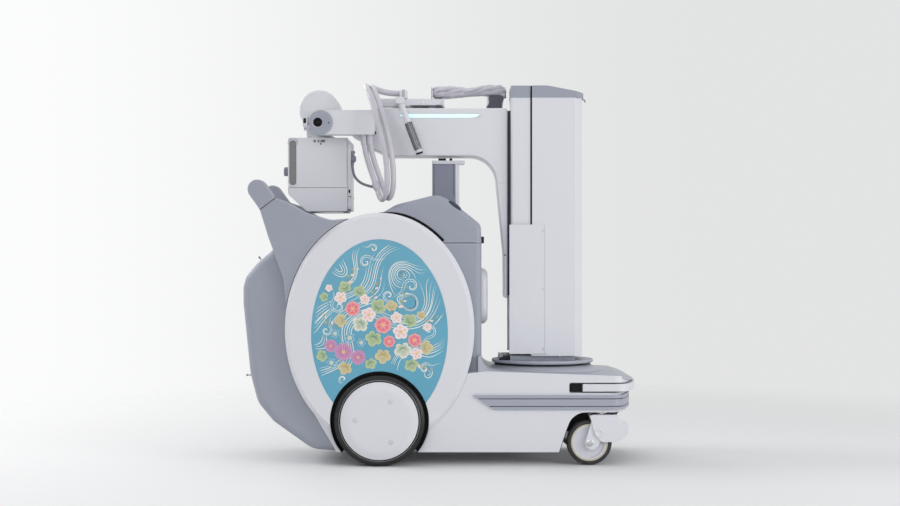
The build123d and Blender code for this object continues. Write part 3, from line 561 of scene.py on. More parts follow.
def upward(u, v, w):
    return (u, v, w)


def forward(u, v, w):
    return (w, u, v)


def addPiece(name, bm, finish, body, sharpAngle=38):
    bmesh.ops.recalc_face_normals(bm, faces=bm.faces[:])
    mesh = bpy.data.meshes.new(name)
    bm.to_mesh(mesh)
    bm.free()
    piece = bpy.data.objects.new(name, mesh)
    scene.collection.objects.link(piece)
    mesh.materials.append(finishes[finish])
    mesh.shade_smooth()
    mesh.set_sharp_from_angle(angle=math.radians(sharpAngle))
    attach(piece, body)
    return piece


def skinRings(bm, rings, closed=False, capped=True):
    # walls between rings of like counts; closed joins the last ring to the first
    pairs = list(zip(rings, rings[1:]))
    if closed:
        pairs.append((rings[-1], rings[0]))
    for one, two in pairs:
        for i in range(len(one)):
            j = (i + 1) % len(one)
            bm.faces.new((one[i], one[j], two[j], two[i]))
    if capped and not closed:
        bm.faces.new(rings[0])
        bm.faces.new(rings[-1])


def ringSlab(bm, outer, inner, low, high, place):
    rings = []
    for points, height in ((outer, low), (outer, high), (inner, high), (inner, low)):
        rings.append([bm.verts.new(place(u, v, height)) for u, v in points])
    skinRings(bm, rings, True)


def addSlab(bm, outline, low, high, place, bevel=0.0, segments=2):
    # a closed outline given a thickness, with its edges rounded
    ring = [bm.verts.new(place(u, v, low)) for u, v in outline]
    face = bm.faces.new(ring)
    grown = bmesh.ops.extrude_face_region(bm, geom=[face])["geom"]
    shift = Vector(place(0, 0, high)) - Vector(place(0, 0, low))
    top = [g for g in grown if isinstance(g, bmesh.types.BMVert)]
    bmesh.ops.translate(bm, verts=top, vec=shift)
    if bevel:
        faces = {f for v in top for f in v.link_faces}
        edges = list({e for f in faces for e in f.edges} | set(face.edges))
        bmesh.ops.bevel(bm, geom=edges, offset=bevel, segments=segments, affect="EDGES",
                        profile=0.5, clamp_overlap=True)


def slabPiece(name, outline, low, high, place, finish, body, bevel=0.0, segments=2):
    bm = bmesh.new()
    addSlab(bm, outline, low, high, place, bevel, segments)
    return addPiece(name, bm, finish, body)


def addStrip(bm, outline, y, half, bevel=0.0):
    # a thin slab that stands across Y, centred on y
    addSlab(bm, outline, y - half, y + half, sideways, bevel)


def boxLine(uLow, uHigh, vLow, vHigh):
    return [(uLow, vLow), (uHigh, vLow), (uHigh, vHigh), (uLow, vHigh)]


def roundedBox(uLow, uHigh, vLow, vHigh, radius, steps=5):
    points = []
    corners = ((uHigh, vHigh, 0), (uLow, vHigh, 90), (uLow, vLow, 180), (uHigh, vLow, 270))
    for u, v, start in corners:
        cu = u - math.copysign(radius, u - (uLow + uHigh) / 2)
        cv = v - math.copysign(radius, v - (vLow + vHigh) / 2)
        for i in range(steps + 1):
            angle = math.radians(start + 90 * i / steps)
            points.append((cu + radius * math.cos(angle), cv + radius * math.sin(angle)))
    return points


def addLathe(bm, profile, place, steps=48, closed=False, arc=(0, 360)):
    # profile: radius and height; place turns x, y, height into the frame
    whole = abs(arc[1] - arc[0]) >= 360
    count = steps if whole else steps + 1
    rings = []
    for radius, height in profile:
        if radius < 1e-7:
            rings.append([bm.verts.new(place(0, 0, height))])
            continue
        ring = []
        for i in range(count):
            angle = math.radians(arc[0] + (arc[1] - arc[0]) * i / steps)
            ring.append(bm.verts.new(place(radius * math.cos(angle), radius * math.sin(angle), height)))
        rings.append(ring)
    pairs = list(zip(rings, rings[1:]))
    if closed:
        pairs.append((rings[-1], rings[0]))
    for one, two in pairs:
        for i in range(steps):
            j = (i + 1) % count
            if len(one) == 1 and len(two) == 1:
                continue
            if len(one) == 1:
                bm.faces.new((one[0], two[i], two[j]))
            elif len(two) == 1:
                bm.faces.new((one[i], one[j], two[0]))
            else:
                bm.faces.new((one[i], one[j], two[j], two[i]))
    if not whole:
        bm.faces.new([r[0] for r in rings])
        bm.faces.new([r[-1] for r in rings])


def lathePiece(name, profile, place, finish, body, steps=48, closed=False, arc=(0, 360)):
    bm = bmesh.new()
    addLathe(bm, profile, place, steps, closed, arc)
    return addPiece(name, bm, finish, body)


def sideSpot(x, y, z, side):
    # turns about Y at x, z; heights grow outward on that side
    return lambda u, v, h: (x + u, side * (y + h), z + v)


def topSpot(x, y, z):
    return lambda u, v, h: (x + u, y + v, z + h)


def cheekSpot(x, middle, z, side, way, out):
    # turns about Y on one cheek of a piece whose middle is off to one side
    return lambda u, v, h: (x + u, side * (middle + way * (out + h)), z + v)


def lineSpot(start, end):
    # turns about the line from start to end; heights run along it
    axis = (Vector(end) - Vector(start)).normalized()
    one = axis.orthogonal().normalized()
    two = axis.cross(one)
    return lambda u, v, h: tuple(Vector(start) + one * u + two * v + axis * h)


def capProfile(radius, height, edge=0.0008):
    return [(0, 0), (radius, 0), (radius, height - edge), (radius - edge, height), (0, height)]


def bentRod(name, points, radius, finish, body):
    piece = curvePiece(name, points, radius, finish, body, 8, 3)


# Drive wheels
driveWheel = {
    "place": (-0.204, 0.150), "radius": 0.150,
    "grooves": (0.232, 0.245, 0.258), "grooveWidth": 0.0026, "grooveDepth": 0.0016,
    # radius and distance from the machine's middle of the tyre's two walls, the black ring of painted shade
    # in the gap and the pale ring of painted highlight on the bead
    "innerWall": [(0.112, 0.2225), (0.1372, 0.2222), (0.1440, 0.2236), (0.1482, 0.2264), (0.1498, 0.2296)],
    "outerWall": [(0.1498, 0.2604), (0.1484, 0.2636), (0.1446, 0.2662), (0.1408, 0.2676),
                  (0.1398, 0.2684), (0.1380, 0.2684), (0.1370, 0.2675), (0.1342, 0.2679),
                  (0.1334, 0.2687), (0.1318, 0.2687), (0.1308, 0.2672), (0.1282, 0.2668),
                  (0.112, 0.2668)],
    "gapShade": (0.1274, 0.1316, 0.2678, 0.2692),
    "beadHighlight": [(0.1318, 0.2676), (0.1344, 0.2676), (0.1342, 0.2692), (0.1334, 0.2698), (0.1324, 0.2698),
             (0.1318, 0.2692)],
    "discFace": 0.2775, "capPlaces": ((-0.079, 0.003), (0.036, 0.064), (0.038, -0.069)),
    "cap": [(0, 0), (0.0065, 0), (0.0065, 0.0010), (0.0052, 0.0016), (0.0022, 0.0016), (0.0018, 0.0011),
            (0, 0.0011)],
    "capRing": (0.0066, 0.0076, 0, 0.0009),
    "shadeHub": 0.050, "archRadius": 0.163, "archReach": 40.6, "wellWall": 0.205, "archEdge": 0.2612,
}


def tyreTread(look):
    # the worn face between the walls, with a groove at each place in the list
    tread = []
    radius, floor, half = look["radius"], look["radius"] - look["grooveDepth"], look["grooveWidth"] / 2
    for middle in look["grooves"]:
        low, high = middle - half, middle + half
        tread += [(radius, low), (floor, low + 0.0004), (floor, high - 0.0004), (radius, high)]
    return tread


def buildDriveWheels():
    look = driveWheel
    x, z = look["place"]
    tyreLine = look["innerWall"] + tyreTread(look) + look["outerWall"]
    hub, edge, arch, wall = look["shadeHub"], look["archEdge"], look["archRadius"], look["wellWall"]
    wellShade = [(hub, wall + 0.0002), (arch - 0.0006, wall + 0.0002), (arch - 0.0006, edge),
             (arch - 0.0022, edge), (arch - 0.0022, wall + 0.0016), (hub, wall + 0.0016)]
    for name, side in sides:
        body = f"drive_wheel_{name}"
        spot = sideSpot(x, 0, z, side)
        tyre = lathePiece(f"driveTyre_{name}", tyreLine, spot, "driveRubber", body, 160, True)
        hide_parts(f"drive_tyre_{name}")
        # painted shade: a black ring fills the gap between the disc and the tyre
        lathePiece(f"discGapShade_{name}", boxLine(*look["gapShade"]), spot, "seamAndShadeDark", body, 128, True)
        # painted highlight: a pale ring on the bead stands for the glint along the tyre's rim
        lathePiece(f"tyreBeadHighlight_{name}", look["beadHighlight"], spot, "stripGrey", body, 128, True)
        caps, rings = bmesh.new(), bmesh.new()
        for dx, dz in look["capPlaces"]:
            capSpot = sideSpot(x + dx, look["discFace"] - 0.0006, z + dz, side)
            addLathe(caps, look["cap"], capSpot, 24)
            addLathe(rings, boxLine(*look["capRing"]), capSpot, 24, True)
        addPiece(f"discCaps_{name}", caps, "casterHub", body)
        addPiece(f"discCapRings_{name}", rings, "seamAndShadePale", body)
        # painted shade: the arch's inner wall is black, standing for the shade in the wheel well
        lathePiece(f"archWellShade_{name}", wellShade, spot, "blackPlasticAndShade", "base", 96, True,
                   (-look["archReach"], 180 + look["archReach"]))


buildDriveWheels()
print("drive wheels built")


# Casters
caster = {
    "axle": (0.4893, 0.075), "track": 0.215,
    # radius and height of half the tread and of a hub ring
    "tread": [(0.0610, -0.0160), (0.0640, -0.0163), (0.0705, -0.0152), (0.0738, -0.0120), (0.0750, -0.0070)],
    "ring": [(0.0552, 0.0150), (0.0554, 0.0164), (0.0562, 0.0171), (0.0594, 0.0171), (0.0602, 0.0166),
             (0.0604, 0.0150)],
    "axleCap": [(0, 0), (0.0120, 0), (0.0120, 0.0014), (0.0100, 0.0024), (0.0062, 0.0024), (0.0058, 0.0036),
                (0, 0.0036)],
    "capFace": 0.0265, "boss": (0.5200, 0.1080, 0.0150), "guardFace": 0.031,
    "screws": ((-0.006, 0.004), (0.005, 0.006), (0.003, -0.007)),
    "arch": [(0.3888, 0.0446), (0.4127, 0.1180), (0.4240, 0.1500), (0.4345, 0.1648), (0.4480, 0.1720),
             (0.4640, 0.1749), (0.5850, 0.1753)],
    "archInner": [(0.3905, 0.0446), (0.4144, 0.1176), (0.4256, 0.1493), (0.4357, 0.1636), (0.4486, 0.1706),
                  (0.4642, 0.1736), (0.5850, 0.1741)],
    "archHalf": 0.2386,
}


def buildCasters():
    x, z = caster["axle"]
    bx, bz, radius = caster["boss"]
    middle, face = caster["track"], caster["guardFace"]
    tread = caster["tread"] + [(r, -h) for r, h in caster["tread"][::-1]]
    boss = [(0, -0.001), (radius, -0.001), (radius, 0.0008), (radius - 0.0012, 0.0016),
            (radius - 0.0040, 0.0016), (radius - 0.0048, 0.0010), (0, 0.0010)]
    for name, side in sides:
        hub = sideSpot(x, middle, z, side)
        tyre = lathePiece(f"casterTyre_{name}", tread, hub, "casterRubber", f"caster_wheel_{name}", 96, True)
        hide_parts(f"caster_tyre_{name}")
        rings, caps, bosses, screws = (bmesh.new() for _ in range(4))
        for way in (-1, 1):
            addLathe(rings, [(r, way * h) for r, h in caster["ring"]], hub, 96, True)
            addLathe(caps, caster["axleCap"], cheekSpot(x, middle, z, side, way, caster["capFace"]), 32)
            addLathe(bosses, boss, cheekSpot(bx, middle, bz, side, way, face), 40)
            for dx, dz in caster["screws"]:
                hole = cheekSpot(bx + dx, middle, bz + dz, side, way, face + 0.0008)
                addLathe(screws, capProfile(0.0014, 0.0008, 0.0002), hole, 12)
        addPiece(f"casterRing_{name}", rings, "casterRing", f"caster_wheel_{name}")
        addPiece(f"casterAxleCaps_{name}", caps, "screwSteel", f"caster_{name}")
        addPiece(f"guardBoss_{name}", bosses, "whitePaint", f"caster_{name}")
        addPiece(f"guardScrews_{name}", screws, "screwSteel", f"caster_{name}")
    half = caster["archHalf"]
    # painted shade: a dark sheet fills the caster's wheel well
    slabPiece("casterWellShade", caster["arch"] + caster["archInner"][::-1], -half, half, sideways,
              "darkLinerAndShade", "base")


buildCasters()
print("casters built")


# Base, deck and slot
baseTrim = {
    "deckScrew": (0.541, 0.080, 0.2967), "slotRear": 0.4220, "slotFront": 0.5840, "slotRadius": 0.0075,
    "slotLow": 0.2400, "slotHigh": 0.2730, "edgeShadeHeights": (0.2395, 0.2735), "edgeShadeY": 0.2392,
    "cornerY": (0.2368, 0.2400), "underPlaces": (-0.290, 0.0, 0.290), "underY": 0.13, "underZ": 0.0442,
    "screwHead": [(0, 0), (0.0055, 0), (0.0055, 0.0014), (0.0045, 0.0021), (0.0020, 0.0021),
                  (0.0017, 0.0014), (0, 0.0014)],
    "underHead": [(0, 0), (0.009, 0), (0.009, 0.002), (0.006, 0.0035), (0, 0.0035)],
}


def slotCorner(rear, radius, z, way):
    # what fills a square corner of the slot down to a round one
    line = [(rear - 0.0006, z - way * 0.0006), (rear + radius, z - way * 0.0006)]
    for i in range(9):
        angle = math.radians(90 * i / 8)
        line.append((rear + radius - radius * math.sin(angle), z + way * radius * (1 - math.cos(angle))))
    return line


def buildBaseTrim():
    rear, radius = baseTrim["slotRear"], baseTrim["slotRadius"]
    x, y, z = baseTrim["deckScrew"]
    screws, edgeShades, corners, under = (bmesh.new() for _ in range(4))
    for side in (-1, 1):
        addLathe(screws, baseTrim["screwHead"], topSpot(x, side * y, z), 24)
        # painted shade: grey lines along the slot's top and bottom edges
        for edgeZ in baseTrim["edgeShadeHeights"]:
            line = boxLine(rear, baseTrim["slotFront"], edgeZ - 0.0006, edgeZ + 0.0006)
            addStrip(edgeShades, line, side * baseTrim["edgeShadeY"], 0.0009)
        low, high = sorted(side * y for y in baseTrim["cornerY"])
        for height, way in ((baseTrim["slotLow"], 1), (baseTrim["slotHigh"], -1)):
            addSlab(corners, slotCorner(rear, radius, height, way), low, high, sideways)
        for place in baseTrim["underPlaces"]:
            addLathe(under, baseTrim["underHead"],
                     lambda u, v, h: (place + u, side * baseTrim["underY"] + v, baseTrim["underZ"] - h), 24)
    addPiece("deckScrews", screws, "greyMoulding", "base")
    addPiece("slotEdgeShade", edgeShades, "seamAndShadePale", "base")
    addPiece("slotCorners", corners, "whitePaint", "base")
    addPiece("underScrews", under, "screwSteel", "base")


buildBaseTrim()


# Body shell
bodyTrim = {
    "seamZ": 0.7354, "seamPlan": (-0.300, 0.1334, 0.2054), "ovalPlace": (-0.204, 0.450),
    "ovalHalf": (0.3124, 0.3850), "shadowSector": (48.5, 92), "shadowWidth": 0.0088,
    "coverStuds": ((-0.6190, 0.6890, 50), (-0.6610, 0.2890, 0)), "studY": 0.110,
    "studSink": 0.002, "slotPlace": (0.0450, -0.1985, 0.8600), "slotTilt": 36,
    "slotHalf": (0.0255, 0.0042, 0.0072, 1), "shadowSteps": 40, "latch": (0.1330, 0.1420, 0.735, 0.757),
}


def buildCoverStuds(name, side):
    # studs that stand off the rear cover, seated where a line through their tip meets it
    stems, tips = bmesh.new(), bmesh.new()
    for x, z, slope in bodyTrim["coverStuds"]:
        point = Vector((x, side * bodyTrim["studY"], z))
        way = Vector((-math.cos(math.radians(slope)), 0, math.sin(math.radians(slope))))
        hit, seat, _, _ = nodes["rear_cover"].ray_cast(point + way * 0.05, -way)
        if hit:
            spot = lineSpot(seat - way * bodyTrim["studSink"], point)
            length = (point - seat).length + bodyTrim["studSink"]
            addLathe(stems, [(0, 0), (0.0046, 0), (0.0046, 0.0032), (0.0026, 0.0046),
                             (0.0022, length - 0.003), (0, length - 0.003)], spot, 20)
            addLathe(tips, [(0, length - 0.0034), (0.0034, length - 0.0032), (0.0036, length - 0.001),
                            (0.0026, length), (0, length)], spot, 20)
    addPiece(f"coverStuds_{name}", stems, "greyMoulding", "base")
    addPiece(f"coverStudTips_{name}", tips, "blackPlasticAndShade", "base")


def buildBodyTrim():
    low, high, half = bodyTrim["seamPlan"]
    z = bodyTrim["seamZ"]
    slabPiece("hoodSeam", roundedBox(low, high, -half, half, 0.0222, 6), z - 0.0010, z + 0.0010, upward,
              "seamAndShadeDark", "base")
    cx, cz = bodyTrim["ovalPlace"]
    a, b = bodyTrim["ovalHalf"]
    start, end = bodyTrim["shadowSector"]
    for name, side in sides:
        steps = bodyTrim["shadowSteps"]
        outer, inner = [], []
        for i in range(steps + 1):
            angle = math.radians(start + (end - start) * i / steps)
            fade = 1 - max(0, (i / steps - 0.55) / 0.45) ** 1.5
            width = 0.0006 + bodyTrim["shadowWidth"] * fade
            inner.append((cx + (a - 0.0004) * math.cos(angle), cz + (b - 0.0004) * math.sin(angle)))
            outer.append((cx + (a + width) * math.cos(angle), cz + (b + width) * math.sin(angle)))
        # painted shadow: a black crescent along the oval's upper edge where the proud oval shades the hood,
        # thinning out towards one end
        slabPiece(f"ovalShadow_{name}", inner + outer[::-1], side * 0.2046, side * 0.2066, sideways,
                  "seamAndShadeDark", "base")
        buildCoverStuds(name, side)
        # painted shade: a dark blob fills the slot where the post leaves the hood
        bm = bmesh.new()
        bmesh.ops.create_uvsphere(bm, u_segments=32, v_segments=16, radius=1.0)
        x, y, slotZ = bodyTrim["slotPlace"]
        turn = Matrix.Rotation(math.radians(bodyTrim["slotTilt"]), 4, "Y")
        place = Matrix.Translation((x, -side * y, slotZ)) @ turn @ Matrix.Diagonal(bodyTrim["slotHalf"])
        bmesh.ops.transform(bm, matrix=place, verts=bm.verts[:])
        addPiece(f"hoodSlotShade_{name}", bm, "darkLinerAndShade", "base")
    rear, front, bottom, top = bodyTrim["latch"]
    bm = bmesh.new()
    for y in (-0.150, 0.150):
        addSlab(bm, roundedBox(y - 0.010, y + 0.010, bottom, top, 0.003), rear, front, forward, 0.0015)
    addPiece("hoodLatches", bm, "blackPlasticAndShade", "base")


buildBodyTrim()


# Grips, console and parking post
gripTrim = {
    "low": (-0.5996, 0.8454), "high": (-0.5481, 0.8837), "inner": 0.2032, "outer": 0.2474,
    "seamHalf": 0.0007, "seamOver": 0.0004,
}


def buildGripTrim():
    # the joint line between each neck and its grip
    low, high = Vector(gripTrim["low"]), Vector(gripTrim["high"])
    along = (high - low).normalized()
    across = Vector((-along.y, along.x)) * gripTrim["seamHalf"]
    over = along * gripTrim["seamOver"]
    corners = [tuple(spot) for spot in (low - over - across, low - over + across, high + over + across,
                                        high + over - across)]
    bm = bmesh.new()
    for side in (-1, 1):
        near, far = sorted((side * gripTrim["inner"], side * gripTrim["outer"]))
        addSlab(bm, corners, near - 0.0003, far + 0.0003, sideways)
    addPiece("gripSeams", bm, "seamAndShadeDark", "base")


buildGripTrim()

console = {"rear": -0.490, "front": -0.290, "half": 0.140, "top": 0.806, "keys": 5, "keyStep": 0.030}


def buildConsole():
    # bezel ring about the blank display and a row of plain keys
    rear, front, half, top = console["rear"], console["front"], console["half"], console["top"]
    outer = roundedBox(rear + 0.002, front - 0.002, -half + 0.002, half - 0.002, 0.013, 6)
    inner = roundedBox(rear + 0.013, front - 0.034, -half + 0.012, half - 0.012, 0.006, 6)
    bm = bmesh.new()
    ringSlab(bm, outer, inner, top - 0.001, top + 0.0016, upward)
    addPiece("consoleBezel", bm, "blackPlasticAndShade", "base")
    bm = bmesh.new()
    for i in range(console["keys"]):
        y = console["keyStep"] * (i - (console["keys"] - 1) / 2)
        addLathe(bm, [(0, 0), (0.0075, 0), (0.0075, 0.0024), (0.0062, 0.0034), (0, 0.0030)],
                 topSpot(front - 0.018, y, top + 0.0012), 28)
    addPiece("consoleKeys", bm, "greyMoulding", "base")


buildConsole()

postTrim = {"half": 0.034, "grooves": (-0.0270, 0.0410), "low": 0.900, "high": 1.0075}


def buildPostTrim():
    # a groove line near both edges of the post's sides
    bm = bmesh.new()
    for y in (-postTrim["half"], postTrim["half"]):
        for x in postTrim["grooves"]:
            addStrip(bm, boxLine(x - 0.0006, x + 0.0006, postTrim["low"], postTrim["high"]), y, 0.0005)
    addPiece("postGrooves", bm, "seamAndShadeDark", "base")


buildPostTrim()
print("body trimmed")


# Turntable and column
columnTrim = {
    "shadeRing": (0.128, 0.166, 0.3223, 0.3277), "turnX": 0.347, "discScrews": 12, "discRing": 0.155,
    "discTop": 0.3378, "slitShade": (0.3012, 0.3059, 0.796, 1.2695), "slitY": 0.0955, "slitHalf": 0.0020,
    "footDots": ((0.3040, 0.3575), (0.4000, 0.3525)), "footY": 0.1050,
    "shroudLine": (0.3478, 0.3490, 0.3610, 0.7976), "shroudLineY": 0.1086,
    "shroudScrews": (0.778, 0.579, 0.378), "screwX": 0.3440, "shroudY": 0.1083,
    "discHead": [(0, 0), (0.0050, 0), (0.0050, 0.0012), (0.0040, 0.0018), (0.0018, 0.0018),
                 (0.0016, 0.0010), (0, 0.0010)],
    "shroudHead": [(0, 0), (0.0030, 0), (0.0030, 0.0010), (0.0022, 0.0015), (0.0010, 0.0015),
                   (0.0008, 0.0009), (0, 0.0009)],
    "bracket": (0.1958, 0.2330, 0.3378, 0.3532), "bracketHalf": 0.0888, "hook": (0.4775, 1.2250),
    "hookY": 0.070, "hookLine": ((-0.002, 0), (0.006, 0), (0.0105, 0.003), (0.0110, 0.010)),
}


def buildColumnTrim():
    look = columnTrim
    turnX, ring = look["turnX"], look["discRing"]
    # painted shade: a black ring under the disc stands for the shadow gap beneath it
    lathePiece("turntableShadeRing", boxLine(*look["shadeRing"]), topSpot(turnX, 0, 0), "blackPlasticAndShade", "base", 96,
               True)
    discScrews, slitShades, screws, lines = (bmesh.new() for _ in range(4))
    for i in range(look["discScrews"]):
        angle = math.tau * (i + 0.5) / look["discScrews"]
        spot = topSpot(turnX + ring * math.cos(angle), ring * math.sin(angle), look["discTop"])
        addLathe(discScrews, look["discHead"], spot, 20)
    for side in (-1, 1):
        # painted shade: a black strip stands in the gap between the column and the mast
        addStrip(slitShades, boxLine(*look["slitShade"]), side * look["slitY"], look["slitHalf"])
        for x, z in look["footDots"]:
            addLathe(screws, capProfile(0.0026, 0.0012, 0.0003), sideSpot(x, look["footY"], z, side), 16)
        for z in look["shroudScrews"]:
            addLathe(screws, look["shroudHead"], sideSpot(look["screwX"], look["shroudY"], z, side), 16)
        addStrip(lines, boxLine(*look["shroudLine"]), side * look["shroudLineY"], 0.0003)
    addPiece("turntableScrews", discScrews, "screwSteel", "column")
    addPiece("columnSlitShade", slitShades, "seamAndShadeDark", "column")
    addPiece("columnScrews", screws, "screwSteel", "column")
    addPiece("shroudLines", lines, "seamAndShadePale", "column")
    rear, front, bottom, top = look["bracket"]
    wedge = [(rear, bottom), (front, bottom), (front, top), (rear + 0.012, top), (rear, bottom + 0.006)]
    slabPiece("footEnd", wedge, -look["bracketHalf"], look["bracketHalf"], sideways, "blackPlasticAndShade", "column",
              0.001)
    x, z = look["hook"]
    for name, side in sides:
        line = [(x + dx, side * look["hookY"], z - drop) for dx, drop in look["hookLine"]]
        bentRod(f"capHook_{name}", line, 0.0016, "blackPlasticAndShade", "column")


buildColumnTrim()
print("column trimmed")


# Arm: lit strips, seams, rail, braid and sleeve
armTrim = {
    "half": 0.075, "stripRear": -0.149, "stripFront": 0.131, "stripMiddle": 1.1700,
    "legSeam": (0.1900, 0.2235, 0.9407), "legHole": (0.2156, 0.6950),
}


def buildArmTrim():
    rear, front, z = armTrim["stripRear"], armTrim["stripFront"], armTrim["stripMiddle"]
    surround = roundedBox(rear - 0.0018, front - 0.0002, z - 0.0078, z + 0.0078, 0.0077, 10)
    lit = [(rear + 0.004, z + 0.0010), (rear + 0.012, z - 0.0022), (rear + 0.024, z - 0.0052),
           (rear + 0.036, z - 0.0064), (rear + 0.050, z - 0.0068), (front - 0.034, z - 0.0068),
           (front - 0.022, z - 0.0058), (front - 0.012, z - 0.0028), (front - 0.004, z + 0.0020),
           (front - 0.003, z + 0.0052), (front - 0.008, z + 0.0062), (rear + 0.040, z + 0.0062),
           (rear + 0.022, z + 0.0050), (rear + 0.010, z + 0.0032)]
    for name, side in sides:
        face = armTrim["half"]
        low, high = sorted((side * (face - 0.0019), side * (face - 0.0004)))
        slabPiece(f"stripBed_{name}", surround, low, high, sideways, "casterHub", "mast")
        low, high = sorted((side * (face - 0.0006), side * (face + 0.0003)))
        strip = slabPiece(f"litStrip_{name}", lit, low, high, sideways, "stripLight", "mast", 0.0003, 1)
        if side < 0:
            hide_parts("light_strips")
        rearX, frontX, seamZ = armTrim["legSeam"]
        low, high = sorted((side * (face - 0.001), side * (face + 0.0003)))
        slabPiece(f"legSeam_{name}", boxLine(rearX, frontX, seamZ - 0.0006, seamZ + 0.0006), low, high,
                  sideways, "seamAndShadePale", "mast")
        x, holeZ = armTrim["legHole"]
        lathePiece(f"legHole_{name}", capProfile(0.0026, 0.0008, 0.0002),
                   sideSpot(x, face - 0.0003, holeZ, side), "blackPlasticAndShade", "mast", 16)


buildArmTrim()

railTrim = {
    "braidStart": -0.108, "braidHalf": 0.0335, "braidZ": 1.2085, "screwPlaces": (-0.185, -0.065),
    "screwY": 0.0298, "screwZ": 1.2190,
    # name, half width, low, high, corner, steps, rear, front, finish, bevel, segments
    "plates": (("railEnd", 0.0335, 1.2030, 1.2345, 0.010, 6, 0.0010, 0.0090, "whitePaint", 0.003, 3),
               ("sleeveTab", 0.0285, 1.2335, 1.2740, 0.006, 5, -0.0368, -0.0336, "greyMoulding", 0.001, 2),
               ("clampBand", 0.0355, 1.2325, 1.2645, 0.009, 6, -0.1370, -0.1270, "seamAndShadePale", 0.0015, 2)),
}


def buildRailTrim():
    # braided cover that bulges under the rail, a plug in its end, the strap and the small tab
    bm = bmesh.new()
    steps, around = 44, 20
    rings = []
    for i in range(steps + 1):
        share = i / steps
        x = railTrim["braidStart"] * (1 - share)
        depth = 0.0040 + 0.0062 * share
        ring = []
        for j in range(around):
            angle = math.tau * j / around
            wrinkle = 1 + 0.10 * noise.noise(Vector((x * 90, math.cos(angle) * 1.3, math.sin(angle) * 1.3)))
            y = railTrim["braidHalf"] * math.cos(angle) * wrinkle
            z = railTrim["braidZ"] + depth * math.sin(angle) * wrinkle - 0.0015 * share
            ring.append(bm.verts.new((x, y, z)))
        rings.append(ring)
    skinRings(bm, rings)
    addPiece("railBraid", bm, "meshFabric", "mast")
    for name, half, low, high, corner, steps, rear, front, finish, bevel, segments in railTrim["plates"]:
        slabPiece(name, roundedBox(-half, half, low, high, corner, steps), rear, front, forward, finish,
                  "mast", bevel, segments)
    bm = bmesh.new()
    for x in railTrim["screwPlaces"]:
        for side in (-1, 1):
            addLathe(bm, capProfile(0.0034, 0.0016, 0.0005),
                     sideSpot(x, railTrim["screwY"], railTrim["screwZ"], side), 18)
    addPiece("railScrews", bm, "screwSteel", "mast")


buildRailTrim()

sleeve = {
    # x, lowest, highest, half width, twist in degrees
    "stations": [(-0.0315, 1.2405, 1.2720, 0.026, 0), (-0.0240, 1.2345, 1.2775, 0.033, 4),
                 (-0.0050, 1.2335, 1.2795, 0.036, 12), (0.0250, 1.2335, 1.2800, 0.036, 28),
                 (0.0600, 1.2370, 1.2770, 0.033, 62), (0.0850, 1.2400, 1.2725, 0.029, 95),
                 (0.1100, 1.2425, 1.2750, 0.030, 130), (0.1400, 1.2425, 1.2805, 0.034, 158),
                 (0.1750, 1.2410, 1.2850, 0.037, 176), (0.2000, 1.2380, 1.2845, 0.037, 184),
                 (0.2150, 1.2340, 1.2760, 0.033, 190), (0.2215, 1.2360, 1.2660, 0.024, 194)],
    "folds": 5, "depth": 0.26, "slant": 30.0, "around": 84, "along": 170,
}


def sleeveStation(x):
    rows = sleeve["stations"]
    for one, two in zip(rows, rows[1:]):
        if x <= two[0]:
            t = max(0, (x - one[0]) / (two[0] - one[0]))
            t = t * t * (3 - 2 * t)
            return [a + (b - a) * t for a, b in zip(one, two)]
    return list(rows[-1])


def buildSleeve():
    # a slack woven sleeve, wrung about half a turn in its middle
    start, end = sleeve["stations"][0][0], sleeve["stations"][-1][0]
    around, along = sleeve["around"], sleeve["along"]
    bm = bmesh.new()
    rings = []
    for i in range(along + 1):
        x = start + (end - start) * i / along
        low, high, half, twist = sleeveStation(x)[1:]
        middle, tall = (low + high) / 2, (high - low) / 2
        turn = math.radians(twist)
        ring = []
        for j in range(around):
            angle = math.tau * j / around
            skew = angle - turn + sleeve["slant"] * (x - start)
            spot = Vector((x * 17, math.cos(angle), math.sin(angle)))
            fold = abs(math.sin(sleeve["folds"] / 2 * skew + 1.8 * noise.noise(spot))) ** 0.7
            across, up = math.cos(skew), math.sin(skew)
            crease = noise.noise(Vector((x * 48 + 3 * across, 2.2 * across, 2.2 * up)))
            fine = noise.noise(Vector((x * 150, 6 * across, 6 * up)))
            shrink = 1 - sleeve["depth"] * (1 - fold) - 0.20 * abs(crease) - 0.05 * abs(fine)
            if math.sin(angle) < -0.2:
                shrink = shrink * 0.5 + 0.5
            square = 1 / max(abs(math.cos(angle)), abs(math.sin(angle))) ** 0.28
            ring.append(bm.verts.new((x + 0.004 * crease * math.sin(angle),
                                      half * math.cos(angle) * shrink * min(square, 1.08),
                                      middle + tall * math.sin(angle) * shrink * min(square, 1.02))))
        rings.append(ring)
    skinRings(bm, rings, capped=False)
    for ring, way in ((rings[0], -1), (rings[-1], 1)):
        centre = sum((v.co for v in ring), Vector()) / around
        hub = bm.verts.new(centre + Vector((way * -0.003, 0, 0)))
        for j in range(around):
            bm.faces.new((ring[j], ring[(j + 1) % around], hub))
    piece = addPiece("cableSleeve", bm, "sleeveFabric", "mast", 60)
    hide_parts("cable_sleeve")


buildSleeve()


